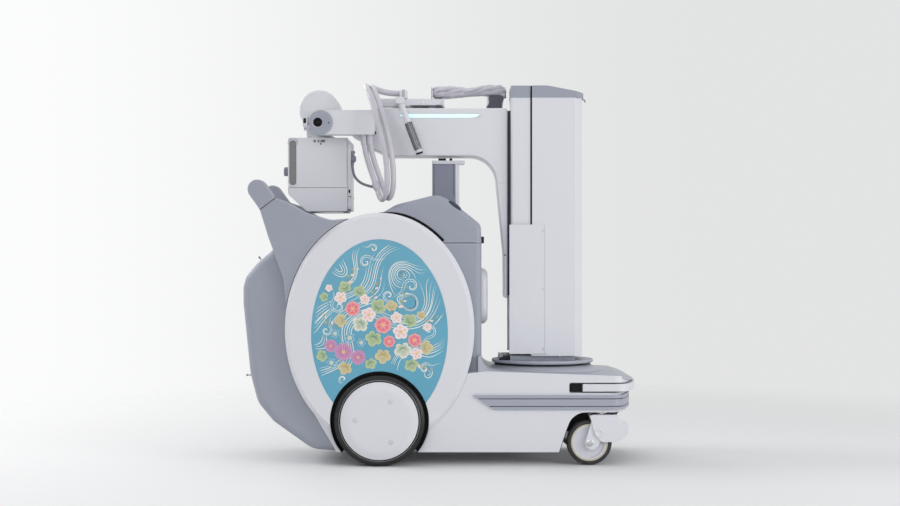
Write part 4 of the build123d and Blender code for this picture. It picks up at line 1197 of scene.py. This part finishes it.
def buildSleeveNeck():
    # dark woven neck that brings the cables down into the arm
    bm = bmesh.new()
    steps, around = 18, 40
    rings = []
    for i in range(steps + 1):
        share = i / steps
        z = 1.1965 + 0.0475 * share
        middle = 0.1800 + 0.008 * share
        half = 0.0290 - 0.002 * math.sin(math.pi * share)
        ring = []
        for j in range(around):
            angle = math.tau * j / around
            square = 1 / max(abs(math.cos(angle)), abs(math.sin(angle))) ** 0.7
            rumple = 1 + 0.035 * noise.noise(Vector((z * 120, 2 * math.cos(angle), 2 * math.sin(angle))))
            ring.append(bm.verts.new((middle + half * math.cos(angle) * square * rumple,
                                      0.0265 * math.sin(angle) * square * rumple, z)))
        rings.append(ring)
    skinRings(bm, rings)
    addPiece("sleeveNeck", bm, "meshFabric", "mast")


buildSleeveNeck()
print("arm trimmed")


# Guide handle
guideHandle = {"top": (-0.142, -0.112, 1.219), "end": (-0.074, -0.112, 1.037), "share": 0.42}


def buildGuideHandle():
    top, end = Vector(guideHandle["top"]), Vector(guideHandle["end"])
    length = (end - top).length
    begin = length * guideHandle["share"]
    spot = lineSpot(top, end)
    grip = [(0, begin - 0.001), (0.0112, begin - 0.001), (0.0128, begin + 0.001), (0.0135, begin + 0.003),
            (0.0135, begin + 0.0065), (0.0126, begin + 0.0072), (0.0126, begin + 0.0086),
            (0.0134, begin + 0.0094)]
    bottom = length - 0.016
    grip += [(0.0134, bottom - 0.0094), (0.0126, bottom - 0.0086), (0.0126, bottom - 0.0072),
             (0.0135, bottom - 0.0065), (0.0135, bottom - 0.003), (0.0126, bottom), (0, bottom)]
    piece = lathePiece("guideGrip", grip, spot, "gripMetal", "mast", 40)
    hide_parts("guide_grip")
    neck = [(0, bottom), (0.0112, bottom), (0.0112, length - 0.0065), (0.0100, length - 0.0055),
            (0, length - 0.0055)]
    cap = [(0, length - 0.0058), (0.0120, length - 0.0058), (0.0120, length - 0.0016),
           (0.0108, length - 0.0002), (0, length)]
    tip = [(0, -0.0125), (0.0050, -0.0115), (0.0085, -0.0085), (0.0104, -0.0040), (0.0106, 0.0),
           (0.0106, 0.010), (0, 0.010)]
    for name, profile, finish in (("guideGripEnd", neck, "whitePaint"), ("guideGripCap", cap, "blackPlasticAndShade"),
                                  ("guideRodTip", tip, "whitePaint")):
        lathePiece(name, profile, spot, finish, "mast", 36)


buildGuideHandle()


# Wrist and tube head
wristTrim = {
    "tiltX": -0.4046, "rollZ": 1.1394, "face": 0.170, "holeX": -0.4146, "dotX": -0.3776,
    "lens": [(0, -0.0052), (0.0150, -0.0052), (0.0150, 0.0030), (0.0138, 0.0040), (0.0118, 0.0040),
             (0.0110, 0.0028), (0.0100, 0.0028), (0.0080, 0.0046), (0.0040, 0.0056), (0, 0.0058)],
    "rim": [(0.0384, 0.0030), (0.0402, 0.0030), (0.0402, 0.0052), (0.0392, 0.0064), (0.0384, 0.0060)],
    "stopHeights": (1.1680, 1.1050), "stopY": (-0.1690, -0.1560), "stopX": (-0.2245, -0.2195),
}


def buildWristTrim():
    z, face = wristTrim["rollZ"], wristTrim["face"]
    hole = sideSpot(wristTrim["holeX"], face, z, -1)
    lathePiece("hubLens", wristTrim["lens"], hole, "lensGlass", "wrist", 48)
    cap = sideSpot(wristTrim["tiltX"], face, z, -1)
    lathePiece("hubRim", wristTrim["rim"], cap, "capGrey", "wrist", 72, True)
    dot = sideSpot(wristTrim["dotX"], face + 0.0058, z - 0.002, -1)
    lathePiece("hubDot", capProfile(0.0024, 0.0006, 0.0002), dot, "blackPlasticAndShade", "wrist", 16)
    bm = bmesh.new()
    for height in wristTrim["stopHeights"]:
        stop = roundedBox(*wristTrim["stopY"], height - 0.005, height + 0.005, 0.002)
        addSlab(bm, stop, *wristTrim["stopX"], forward, 0.0008)
    addPiece("wristStops", bm, "blackPlasticAndShade", "wrist")


buildWristTrim()

hoseEnds = {
    "places": ((-0.262, -0.150), (-0.241, -0.150)), "top": 1.0990, "end": 1.0650,
    "boot": [(0.0091, 0), (0.0103, 0), (0.0103, 0.0060), (0.0099, 0.0068), (0.0099, 0.0085),
             (0.0102, 0.0092), (0.0101, 0.0140), (0.0097, 0.0150), (0.0097, 0.0165), (0.0100, 0.0175),
             (0.0099, 0.0250), (0.0095, 0.0335), (0.0091, 0.0340)],
    "shelf": [(-0.3000, 1.0940), (-0.2920, 1.0870), (-0.2780, 1.0800), (-0.2640, 1.0770),
              (-0.2530, 1.0780), (-0.2500, 1.0830), (-0.2500, 1.0990), (-0.3000, 1.0990)],
    "shelfY": (-0.1345, -0.1180),
    "branch": ((-0.2370, -0.1105, 0.9265), (-0.2225, -0.1300, 0.9290)),
    "collar": ((-0.2262, -0.1316, 0.9430), (-0.2166, -0.1332, 0.9148)),
}


def buildHoseEnds():
    # tapered boots where the hoses leave the wrist, the shelf beside them and the lamp cord's branch
    for i, (x, y) in enumerate(hoseEnds["places"]):
        spot = lineSpot((x, y, hoseEnds["top"]), (x, y, hoseEnds["end"]))
        lathePiece(f"hoseBoot_{i + 1}", hoseEnds["boot"], spot, "hoseSkin", "wrist", 32, True)
    slabPiece("wristShelf", hoseEnds["shelf"], *hoseEnds["shelfY"], sideways, "whitePaint", "wrist", 0.0015)
    start, end = hoseEnds["branch"]
    length = math.dist(start, end)
    boot = [(0, 0), (0.0050, 0), (0.0056, 0.002), (0.0062, length * 0.5), (0.0085, length), (0, length)]
    lathePiece("cordBoot", boot, lineSpot(start, end), "cordSkin", "inner_arm", 24)
    start, end = hoseEnds["collar"]
    length = math.dist(start, end)
    collar = [(0.0086, 0), (0.0100, 0.0004), (0.0112, 0.004), (0.0114, length - 0.004),
              (0.0100, length - 0.0004), (0.0086, length)]
    lathePiece("cordCollar", collar, lineSpot(start, end), "hoseSkin", "inner_arm", 32, True)


buildHoseEnds()

headTrim = {
    "tube": (-0.4165, 1.1875), "half": 0.100, "rear": -0.5217, "knobZ": 0.983, "knobSteps": 72,
    "stripX": -0.505, "stripHalf": 0.012, "stripLow": 0.932, "stripHigh": 1.084,
    # depth, radius and height of the ridges along the knob
    "knob": ((-0.001, 0.0142, 0), (0.003, 0.0142, 0), (0.0045, 0.0150, 0.0008), (0.0200, 0.0150, 0.0008),
             (0.0232, 0.0132, 0.0004)),
    # rear, front, low, high, corner of the swivel scale's marks
    "marks": ((-0.4352, -0.4268, 1.0770, 1.0860, 0.0015), (-0.4210, -0.4150, 1.0770, 1.0860, 0.0015),
              (-0.4110, -0.4050, 1.0770, 1.0860, 0.0015), (-0.4026, -0.3954, 1.0770, 1.0860, 0.0015),
              (-0.4125, -0.4085, 1.0690, 1.0760, 0.0012)),
    # x, z and radius
    "pins": ((-0.4030, 1.0815, 0.0026), (-0.4100, 1.0725, 0.0022)),
    # name, rear, front, low, high, corner, steps, outer y, inner y, finish, bevel
    "lever": (("neckLever", -0.4710, -0.4545, 1.1290, 1.1645, 0.004, 5, -0.1110, -0.1012, "whitePaint",
               0.002),
              ("neckLeverTip", -0.4685, -0.4590, 1.1420, 1.1585, 0.003, 5, -0.1120, -0.1106, "blackPlasticAndShade",
               0.0005),
              ("neckLeverFoot", -0.4670, -0.4580, 1.1165, 1.1300, 0.003, 5, -0.1100, -0.1030, "whitePaint",
               0.001),
              ("neckLeverArm", -0.4570, -0.4250, 1.1380, 1.1420, 0.0015, 3, -0.1080, -0.1040, "blackPlasticAndShade",
               0.0006)),
    "catchY": 0.0866,
    # radius and height down the lamp plug
    "plug": [(0, 0), (0.0080, 0), (0.0098, 0.002), (0.0092, 0.008), (0.0062, 0.0105), (0.0064, 0.0140),
             (0.0100, 0.0170), (0.0128, 0.0215), (0.0134, 0.0275), (0.0128, 0.0335), (0.0094, 0.0385),
             (0.0066, 0.0405), (0.0064, 0.0425), (0.0056, 0.0430), (0.0056, 0.0445), (0.0062, 0.0450),
             (0.0062, 0.0465), (0.0054, 0.0470), (0.0054, 0.0490), (0, 0.0490)],
}


def buildHeadStrips(name, side):
    # plain disc on the tube's end, and the frame and dark arch about the side strip
    x, z = headTrim["tube"]
    half, sx, sh = headTrim["half"], headTrim["stripX"], headTrim["stripHalf"]
    lathePiece(f"tubeEnd_{name}", [(0, 0.0008), (0.0560, 0.0008), (0.0572, 0.0004), (0.0576, -0.0004),
                                   (0, -0.0004)], sideSpot(x, half, z, side), "whitePaint", "tube_head", 96)
    low, high = headTrim["stripLow"], headTrim["stripHigh"]
    outer = roundedBox(sx - sh - 0.0045, sx + sh + 0.0030, low - 0.004, high + 0.0052, 0.0135, 8)
    inner = roundedBox(sx - sh, sx + sh, low, high, 0.0108, 8)
    near, far = sorted((side * (half - 0.0012), side * (half + 0.0022)))
    bm = bmesh.new()
    ringSlab(bm, outer, inner, near, far, sideways)
    addPiece(f"stripFrame_{name}", bm, "whitePaint", "collimator")
    bm = bmesh.new()
    arch = [(sx - sh - 0.0046, 1.0700), (sx - sh - 0.0046, 1.0810), (sx - 0.0090, 1.0893),
            (sx + 0.0080, 1.0893), (sx + sh + 0.0032, 1.0810), (sx + sh + 0.0032, 1.0700)]
    rim = [(sx + (a - sx) * 0.93, b - 0.0011) for a, b in arch]
    addStrip(bm, arch + rim[::-1], side * (half + 0.0018), 0.0006)
    addPiece(f"stripArch_{name}", bm, "darkLinerAndShade", "collimator")


def buildHeadSide():
    # marks of the swivel scale along the top edge, and the lever by the tube's neck
    bm = bmesh.new()
    for rear, front, low, high, corner in headTrim["marks"]:
        addSlab(bm, roundedBox(rear, front, low, high, corner), -0.1016, -0.0990, sideways, 0.0005)
    addPiece("swivelMarks", bm, "postGrey", "collimator")
    bm = bmesh.new()
    for x, z, radius in headTrim["pins"]:
        addLathe(bm, capProfile(radius, 0.0012, 0.0003), sideSpot(x, 0.1010, z, -1), 16)
    addPiece("swivelPins", bm, "blackPlasticAndShade", "collimator")
    for name, rear, front, low, high, corner, steps, outer, inner, finish, bevel in headTrim["lever"]:
        slabPiece(name, roundedBox(rear, front, low, high, corner, steps), outer, inner, sideways, finish,
                  "tube_head", bevel)
    lathePiece("neckLeverPin", capProfile(0.0030, 0.0016, 0.0005), sideSpot(-0.4625, 0.1098, 1.1240, -1),
               "postGrey", "tube_head", 18)


def buildHeadFront():
    # the front panel's catches, and the window and its frame below
    bm = bmesh.new()
    for side in (-1, 1):
        y = side * headTrim["catchY"]
        addStrip(bm, roundedBox(-0.3170, -0.3110, 0.9060, 0.9180, 0.002), y, 0.0008)
        addStrip(bm, roundedBox(-0.3180, -0.3075, 0.8925, 0.8945, 0.0008), y, 0.0006)
    addPiece("panelCatches", bm, "blackPlasticAndShade", "collimator")
    slabPiece("exitWindow", roundedBox(-0.4420, -0.3380, -0.078, 0.078, 0.006), 0.8424, 0.8450, upward,
              "screenGlass", "collimator", 0.0004, 1)
    bm = bmesh.new()
    ringSlab(bm, roundedBox(-0.4540, -0.3220, -0.096, 0.096, 0.006),
             roundedBox(-0.4425, -0.3375, -0.0785, 0.0785, 0.005), 0.8412, 0.8436, upward)
    addPiece("exitFrame", bm, "postGrey", "collimator")


def buildHeadKnob():
    # ridged knob at the rear, and the lamp cord's plug
    bm = bmesh.new()
    rings = []
    for depth, radius, ridge in headTrim["knob"]:
        ring = []
        for i in range(headTrim["knobSteps"]):
            angle = math.tau * i / headTrim["knobSteps"]
            r = radius + ridge * (1 if i % 4 < 2 else -1)
            ring.append(bm.verts.new((headTrim["rear"] - depth, r * math.cos(angle),
                                      headTrim["knobZ"] + r * math.sin(angle))))
        rings.append(ring)
    skinRings(bm, rings)
    addPiece("headKnob", bm, "postGrey", "collimator")
    line = lineSpot((-0.3048, -0.070, 1.0500), (-0.3050, -0.070, 1.0000))
    lathePiece("lampPlug", headTrim["plug"], line, "postGrey", "collimator", 36)


for name, side in sides:
    buildHeadStrips(name, side)
buildHeadSide()
buildHeadFront()
buildHeadKnob()
print("head trimmed")

# Printed design on the blue ovals: streams of fine lines under a spray of flowers
design = {
    "centre": (-0.204, 0.437), "half": (0.2245, 0.310), "keep": 0.965, "wheelDrop": 0.287,
    "wheelRoom": 0.1725, "face": 0.2620, "lineDepth": 0.0003, "inkDepth": 0.0004, "step": 0.0042,
    "room": 0.0032, "flow": (0.62, 0.52), "eddyRoom": 0.006, "curlSteps": 45,
    # u, v, strength and reach of the eddies that bend the streams
    "eddies": [(-0.100, 0.175, 1.9, 0.075), (0.055, 0.215, -1.9, 0.070), (0.120, 0.075, 1.8, 0.075),
               (-0.060, 0.020, -1.9, 0.085), (-0.150, -0.060, 1.5, 0.060), (0.085, -0.085, -1.6, 0.070),
               (0.170, -0.150, 1.3, 0.050)],
    # u and v of the middle of a bundle, lines side by side, spacing, steps each way
    "bundles": [
        (-0.120, 0.215, 4, 0.0075, 30), (0.010, 0.255, 5, 0.0070, 40), (0.110, 0.215, 4, 0.0075, 36),
        (-0.040, 0.165, 5, 0.0075, 34), (0.060, 0.120, 5, 0.0078, 36), (0.160, 0.110, 4, 0.0080, 34),
        (-0.170, 0.090, 4, 0.0075, 30), (-0.100, 0.030, 5, 0.0075, 34), (0.140, 0.040, 4, 0.0080, 30),
        (-0.185, -0.020, 4, 0.0075, 28), (0.000, 0.060, 4, 0.0075, 30), (0.180, -0.050, 4, 0.0070, 30),
        (-0.175, -0.120, 4, 0.0070, 26), (0.090, -0.060, 4, 0.0070, 26), (0.165, -0.135, 3, 0.0070, 24),
        (-0.135, -0.175, 3, 0.0070, 20), (-0.190, 0.045, 3, 0.0075, 26), (0.192, 0.030, 3, 0.0075, 26),
        (-0.050, 0.100, 3, 0.0075, 24), (0.085, 0.185, 3, 0.0075, 26), (-0.080, 0.265, 3, 0.0070, 24)],
    # u, v, size, turn in degrees and hand of the free curls
    "curls": [
        (-0.045, 0.235, 0.022, 20, 1), (0.105, 0.155, 0.026, 200, -1), (-0.135, 0.090, 0.024, 120, 1),
        (0.030, 0.125, 0.020, 300, -1), (-0.175, 0.010, 0.018, 60, -1), (0.165, 0.010, 0.022, 250, 1),
        (-0.020, 0.280, 0.014, 160, -1), (0.150, -0.115, 0.018, 30, 1), (-0.120, -0.150, 0.017, 330, -1)],
}
inks = {
    "cream": (0.80, 0.78, 0.66), "white": (0.88, 0.84, 0.80), "blush": (0.82, 0.42, 0.42),
    "coral": (0.74, 0.11, 0.15), "rose": (0.80, 0.22, 0.28), "mauve": (0.42, 0.12, 0.30),
    "lilac": (0.66, 0.34, 0.55), "gold": (0.80, 0.55, 0.12), "green": (0.10, 0.24, 0.12),
    "pale": (0.52, 0.60, 0.34), "ochre": (0.38, 0.30, 0.10), "sand": (0.66, 0.58, 0.34),
    "blue": (0.04, 0.17, 0.30), "sky": (0.30, 0.58, 0.68),
}


def onPanel(u, v, room=0.0):
    a, b = design["half"]
    keep = design["keep"]
    inside = (u / (a * keep - room)) ** 2 + (v / (b * keep - room)) ** 2 < 1
    return inside and math.hypot(u, v + design["wheelDrop"]) > design["wheelRoom"] + room


def streamWay(u, v):
    du, dv = design["flow"]
    for x, y, strength, reach in design["eddies"]:
        away = Vector((u - x, v - y)) / reach
        push = strength * math.exp(-away.length_squared)
        du -= push * away.y
        dv += push * away.x
    return Vector((du, dv)).normalized()


def panelCell(spot):
    return (round(spot[0] / design["room"]), round(spot[1] / design["room"]))


def streamLine(start, steps, taken):
    # followed downstream and upstream from a place in its middle, up to a line laid before
    halves = []
    for way in (1, -1):
        line = [Vector(start)]
        while len(line) < steps:
            here = line[-1]
            middle = here + streamWay(*here) * way * design["step"] / 2
            there = here + streamWay(*middle) * way * design["step"]
            near = any((there - old).length < design["eddyRoom"] for old in line[:-8])
            if near or panelCell(there) in taken or not onPanel(*there):
                break
            line.append(there)
        halves.append(line)
    return halves[1][:0:-1] + halves[0]


def curlLine(u, v, size, turn, hand):
    # a hook that winds in on itself
    points = []
    for i in range(design["curlSteps"] + 1):
        t = i / design["curlSteps"]
        angle = math.radians(turn) + hand * (0.2 + 7.6 * t)
        reach = size * (1.15 - t) ** 1.25
        points.append(Vector((u + reach * math.cos(angle), v + reach * math.sin(angle))))
    tail = points[0] - points[1]
    lead = [points[0] + tail.normalized() * size * 0.28 * k + Vector((-tail.y, tail.x)).normalized() * hand
            * size * 0.05 * k * k for k in range(5, 0, -1)]
    return lead + points


def addRibbon(bm, place, line, width, layer):
    # a closed strip that thins out to both ends, each line a hair above the one before
    face = design["face"]
    low, high = face + 0.00005, face + design["lineDepth"] + 0.0000015 * layer
    last = len(line) - 1
    rings = []
    for i, spot in enumerate(line):
        way = (line[min(i + 1, last)] - line[max(i - 1, 0)]).normalized()
        across = Vector((-way.y, way.x))
        share = i / last
        half = width / 2 * (0.18 + 0.82 * math.sin(math.pi * min(1, share * 1.04)) ** 0.55)
        left, right = spot + across * half, spot - across * half
        rings.append([bm.verts.new(place(left.x, left.y, low)), bm.verts.new(place(right.x, right.y, low)),
                      bm.verts.new(place(right.x, right.y, high)), bm.verts.new(place(left.x, left.y, high))])
    skinRings(bm, rings)


def addInkShape(bm, place, outline, centre, depth, rimInk, middleInk, rise=0.0007):
    # a thin closed dome; the colour runs from its middle out to its rim
    ink = bm.verts.layers.float_color["ink"]
    floor = design["face"] + design["inkDepth"] + depth
    rim = [bm.verts.new(place(u, v, floor)) for u, v in outline]
    top = bm.verts.new(place(*centre, floor + rise))
    under = bm.verts.new(place(*centre, design["face"] + 0.0001))
    for vert in rim:
        vert[ink] = (*inks[rimInk], 1)
    top[ink] = under[ink] = (*inks[middleInk], 1)
    for i in range(len(rim)):
        j = (i + 1) % len(rim)
        bm.faces.new((rim[i], rim[j], top))
        bm.faces.new((rim[j], rim[i], under))


def petalOutline(u, v, angle, length, half, tip=0.62, steps=7):
    # widest at the share tip of its length
    along, across = Vector((math.cos(angle), math.sin(angle))), Vector((-math.sin(angle), math.cos(angle)))
    power = math.log(0.5) / math.log(tip)
    edges = [[], []]
    for k in range(steps + 1):
        share = k / steps
        wide = half * math.sin(math.pi * share ** power) ** 0.8
        for edge, way in zip(edges, (1, -1)):
            edge.append(Vector((u, v)) + along * length * share + across * wide * way)
    return [tuple(p) for p in edges[0] + edges[1][-2:0:-1]]


def addFlower(bm, place, u, v, radius, kind, turn, depth):
    for row in flowerKinds[kind]:
        count, reach, wide, rim, middle, tip = row
        for k in range(count):
            angle = turn + math.tau * (k + 0.5 * (depth % 2)) / count
            length = radius * reach
            outline = petalOutline(u, v, angle, length, length * wide, tip)
            heart = (u + 0.42 * length * math.cos(angle), v + 0.42 * length * math.sin(angle))
            addInkShape(bm, place, outline, heart, 0.0003 + 0.00012 * depth, rim, middle, 0.0003)
        depth += 1
        turn += math.pi / count
    disc = [(u + radius * 0.17 * math.cos(t * math.tau / 10), v + radius * 0.17 * math.sin(t * math.tau / 10))
            for t in range(10)]
    addInkShape(bm, place, disc, (u, v), 0.0004 + 0.00012 * depth, "gold", "gold", 0.0003)


flowerKinds = {
    # petals in a row, reach, half width, rim ink, middle ink, widest share
    "blossom": [(5, 1.0, 0.42, "white", "blush", 0.66), (5, 0.62, 0.34, "white", "blush", 0.66)],
    "camellia": [(7, 1.0, 0.40, "blush", "coral", 0.70), (6, 0.76, 0.40, "rose", "coral", 0.70),
                 (5, 0.50, 0.42, "blush", "rose", 0.70)],
    "aster": [(16, 1.0, 0.13, "lilac", "mauve", 0.72), (12, 0.68, 0.15, "lilac", "mauve", 0.72)],
    "bell": [(6, 1.0, 0.30, "sky", "blue", 0.55), (6, 0.60, 0.22, "cream", "sky", 0.55)],
}


def addLeaf(bm, place, u, v, size, angle, rim, middle):
    # a leaf of five soft lobes round its stalk
    outline = []
    for k in range(30):
        t = -math.pi + math.tau * k / 30
        lobe = 0.74 + 0.26 * abs(math.cos(2.5 * t)) ** 0.7 - 0.30 * (abs(t) / math.pi) ** 6
        reach = size * lobe * (0.66 + 0.34 * math.cos(t / 2))
        outline.append((u + reach * math.cos(t + angle), v + reach * math.sin(t + angle)))
    addInkShape(bm, place, outline, (u, v), 0.00018, rim, middle, 0.0002)
    for way in (-0.9, -0.42, 0.0, 0.42, 0.9):
        vein = petalOutline(u, v, angle + way, size * 0.72, size * 0.022, 0.3, 4)
        addInkShape(bm, place, vein, (u + size * 0.2 * math.cos(angle + way), v + size * 0.2 *
                                      math.sin(angle + way)), 0.00045, rim, "cream", 0.0001)


spray = {
    # u, v, radius, kind, turn in degrees
    "flowers": [(-0.128, 0.118, 0.0200, "blossom", 10), (-0.088, 0.082, 0.0240, "camellia", 30),
                (-0.048, 0.112, 0.0165, "blossom", 50), (-0.036, 0.062, 0.0235, "blossom", 5),
                (0.012, 0.028, 0.0270, "camellia", 0), (0.056, 0.052, 0.0190, "blossom", 24),
                (0.070, 0.006, 0.0250, "blossom", 60), (0.032, -0.026, 0.0190, "camellia", 45),
                (0.116, -0.022, 0.0220, "camellia", 15), (0.122, -0.066, 0.0195, "blossom", 33),
                (0.158, 0.022, 0.0140, "blossom", 70), (-0.118, -0.060, 0.0300, "aster", 0),
                (-0.160, -0.040, 0.0210, "aster", 14), (-0.070, -0.078, 0.0250, "aster", 28),
                (-0.098, -0.014, 0.0180, "bell", 8), (-0.146, 0.000, 0.0150, "bell", 38),
                (-0.158, -0.096, 0.0170, "bell", 20), (-0.060, -0.030, 0.0150, "bell", 50),
                (-0.166, 0.150, 0.0120, "blossom", 15)],
    # u, v, size, angle in degrees, rim ink, middle ink
    "leaves": [(-0.112, 0.150, 0.020, 120, "pale", "green"), (-0.066, 0.136, 0.019, 70, "pale", "green"),
               (-0.006, 0.086, 0.024, 60, "pale", "green"), (-0.060, 0.034, 0.024, 230, "cream", "green"),
               (0.040, 0.088, 0.018, 95, "sand", "ochre"), (-0.018, -0.012, 0.025, 250, "pale", "green"),
               (0.098, 0.040, 0.022, 50, "pale", "green"), (0.076, -0.050, 0.026, 280, "cream", "green"),
               (0.150, -0.046, 0.022, 0, "sand", "ochre"), (0.104, -0.100, 0.021, 290, "pale", "green"),
               (0.012, -0.070, 0.024, 265, "sand", "ochre"), (-0.124, 0.044, 0.020, 190, "sand", "ochre"),
               (-0.186, -0.072, 0.018, 200, "pale", "green"), (-0.112, -0.110, 0.021, 250, "sand", "ochre"),
               (-0.030, -0.096, 0.018, 300, "pale", "green"), (-0.180, 0.120, 0.014, 170, "pale", "green"),
               (0.136, 0.058, 0.014, 60, "sand", "ochre")],
    # twigs with buds: start, end, bow, buds
    "twigs": [((-0.100, 0.130), (-0.062, 0.222), 0.020, 6), ((0.030, 0.070), (0.086, 0.150), -0.018, 6),
              ((0.130, -0.010), (0.186, 0.052), 0.012, 4), ((0.120, -0.080), (0.168, -0.118), -0.010, 4),
              ((-0.130, 0.020), (-0.186, 0.066), 0.012, 4), ((-0.010, 0.080), (0.004, 0.176), 0.016, 5)],
}


def addTwig(bm, place, start, end, bow, buds):
    one, two = Vector(start), Vector(end)
    across = Vector((one.y - two.y, two.x - one.x)).normalized()
    line = []
    for i in range(13):
        share = i / 12
        line.append(one.lerp(two, share) + across * bow * math.sin(math.pi * share))
    for i, (spot, after) in enumerate(zip(line, line[1:])):
        way = after - spot
        angle = math.atan2(way.y, way.x)
        strip = petalOutline(*(spot - way * 0.2), angle, way.length * 1.5, 0.0010, 0.5, 3)
        addInkShape(bm, place, strip, tuple(spot + way * 0.5), 0.00015, "ochre", "ochre", 0.0001)
    for i in range(buds):
        share = 0.35 + 0.65 * i / (buds - 1)
        spot = line[round(share * 12)]
        angle = math.atan2(two.y - one.y, two.x - one.x) + (0.9 if i % 2 else -0.9) * (i < buds - 1)
        size = 0.0125 - 0.0055 * share
        leafInk = ("pale", "green") if i % 2 else ("white", "blush")
        addInkShape(bm, place, petalOutline(spot.x, spot.y, angle, size * 1.5, size * 0.36, 0.5, 6),
                    (spot.x + size * 0.7 * math.cos(angle), spot.y + size * 0.7 * math.sin(angle)),
                    0.0003, *leafInk, 0.0002)


def buildDesign(name, side):
    cx, cz = design["centre"]

    def place(u, v, depth):
        return (cx + u, side * depth, cz + v)

    chance = random.Random(7)
    bm = bmesh.new()
    taken = set()
    layer = 0
    for u, v, size, turn, hand in design["curls"]:
        for scale in (1.0, 0.72):
            line = [p for p in curlLine(u, v, size * scale, turn, hand) if onPanel(*p)]
            if len(line) > 20:
                layer += 1
                addRibbon(bm, place, line, 0.0019, layer)
                taken |= {panelCell(p) for p in line}
    for u, v, count, spacing, steps in design["bundles"]:
        way = streamWay(u, v)
        across = Vector((-way.y, way.x))
        for k in range(count):
            spot = Vector((u, v)) + across * (k - (count - 1) / 2) * spacing
            length = steps + chance.randrange(12)
            if onPanel(*spot) and panelCell(spot) not in taken:
                line = streamLine(spot, length, taken)
                if len(line) > 12:
                    layer += 1
                    addRibbon(bm, place, line, 0.0024 - 0.0008 * (k % 2), layer)
                    taken |= {panelCell(p) for p in line}
    addPiece(f"ovalStreams_{name}", bm, "streamInk", "base", 60)
    bm = bmesh.new()
    bm.verts.layers.float_color.new("ink")
    for u, v, size, angle, rim, middle in spray["leaves"]:
        addLeaf(bm, place, u, v, size * 1.25, math.radians(angle), rim, middle)
    for twig in spray["twigs"]:
        addTwig(bm, place, *twig)
    for i, (u, v, radius, kind, turn) in enumerate(spray["flowers"]):
        addFlower(bm, place, u, v, radius * 1.08, kind, math.radians(turn), 1 + 3 * (i % 2))
    addPiece(f"ovalFlowers_{name}", bm, "printInk", "base", 60)


for name, side in sides:
    buildDesign(name, side)
print("ovals printed")
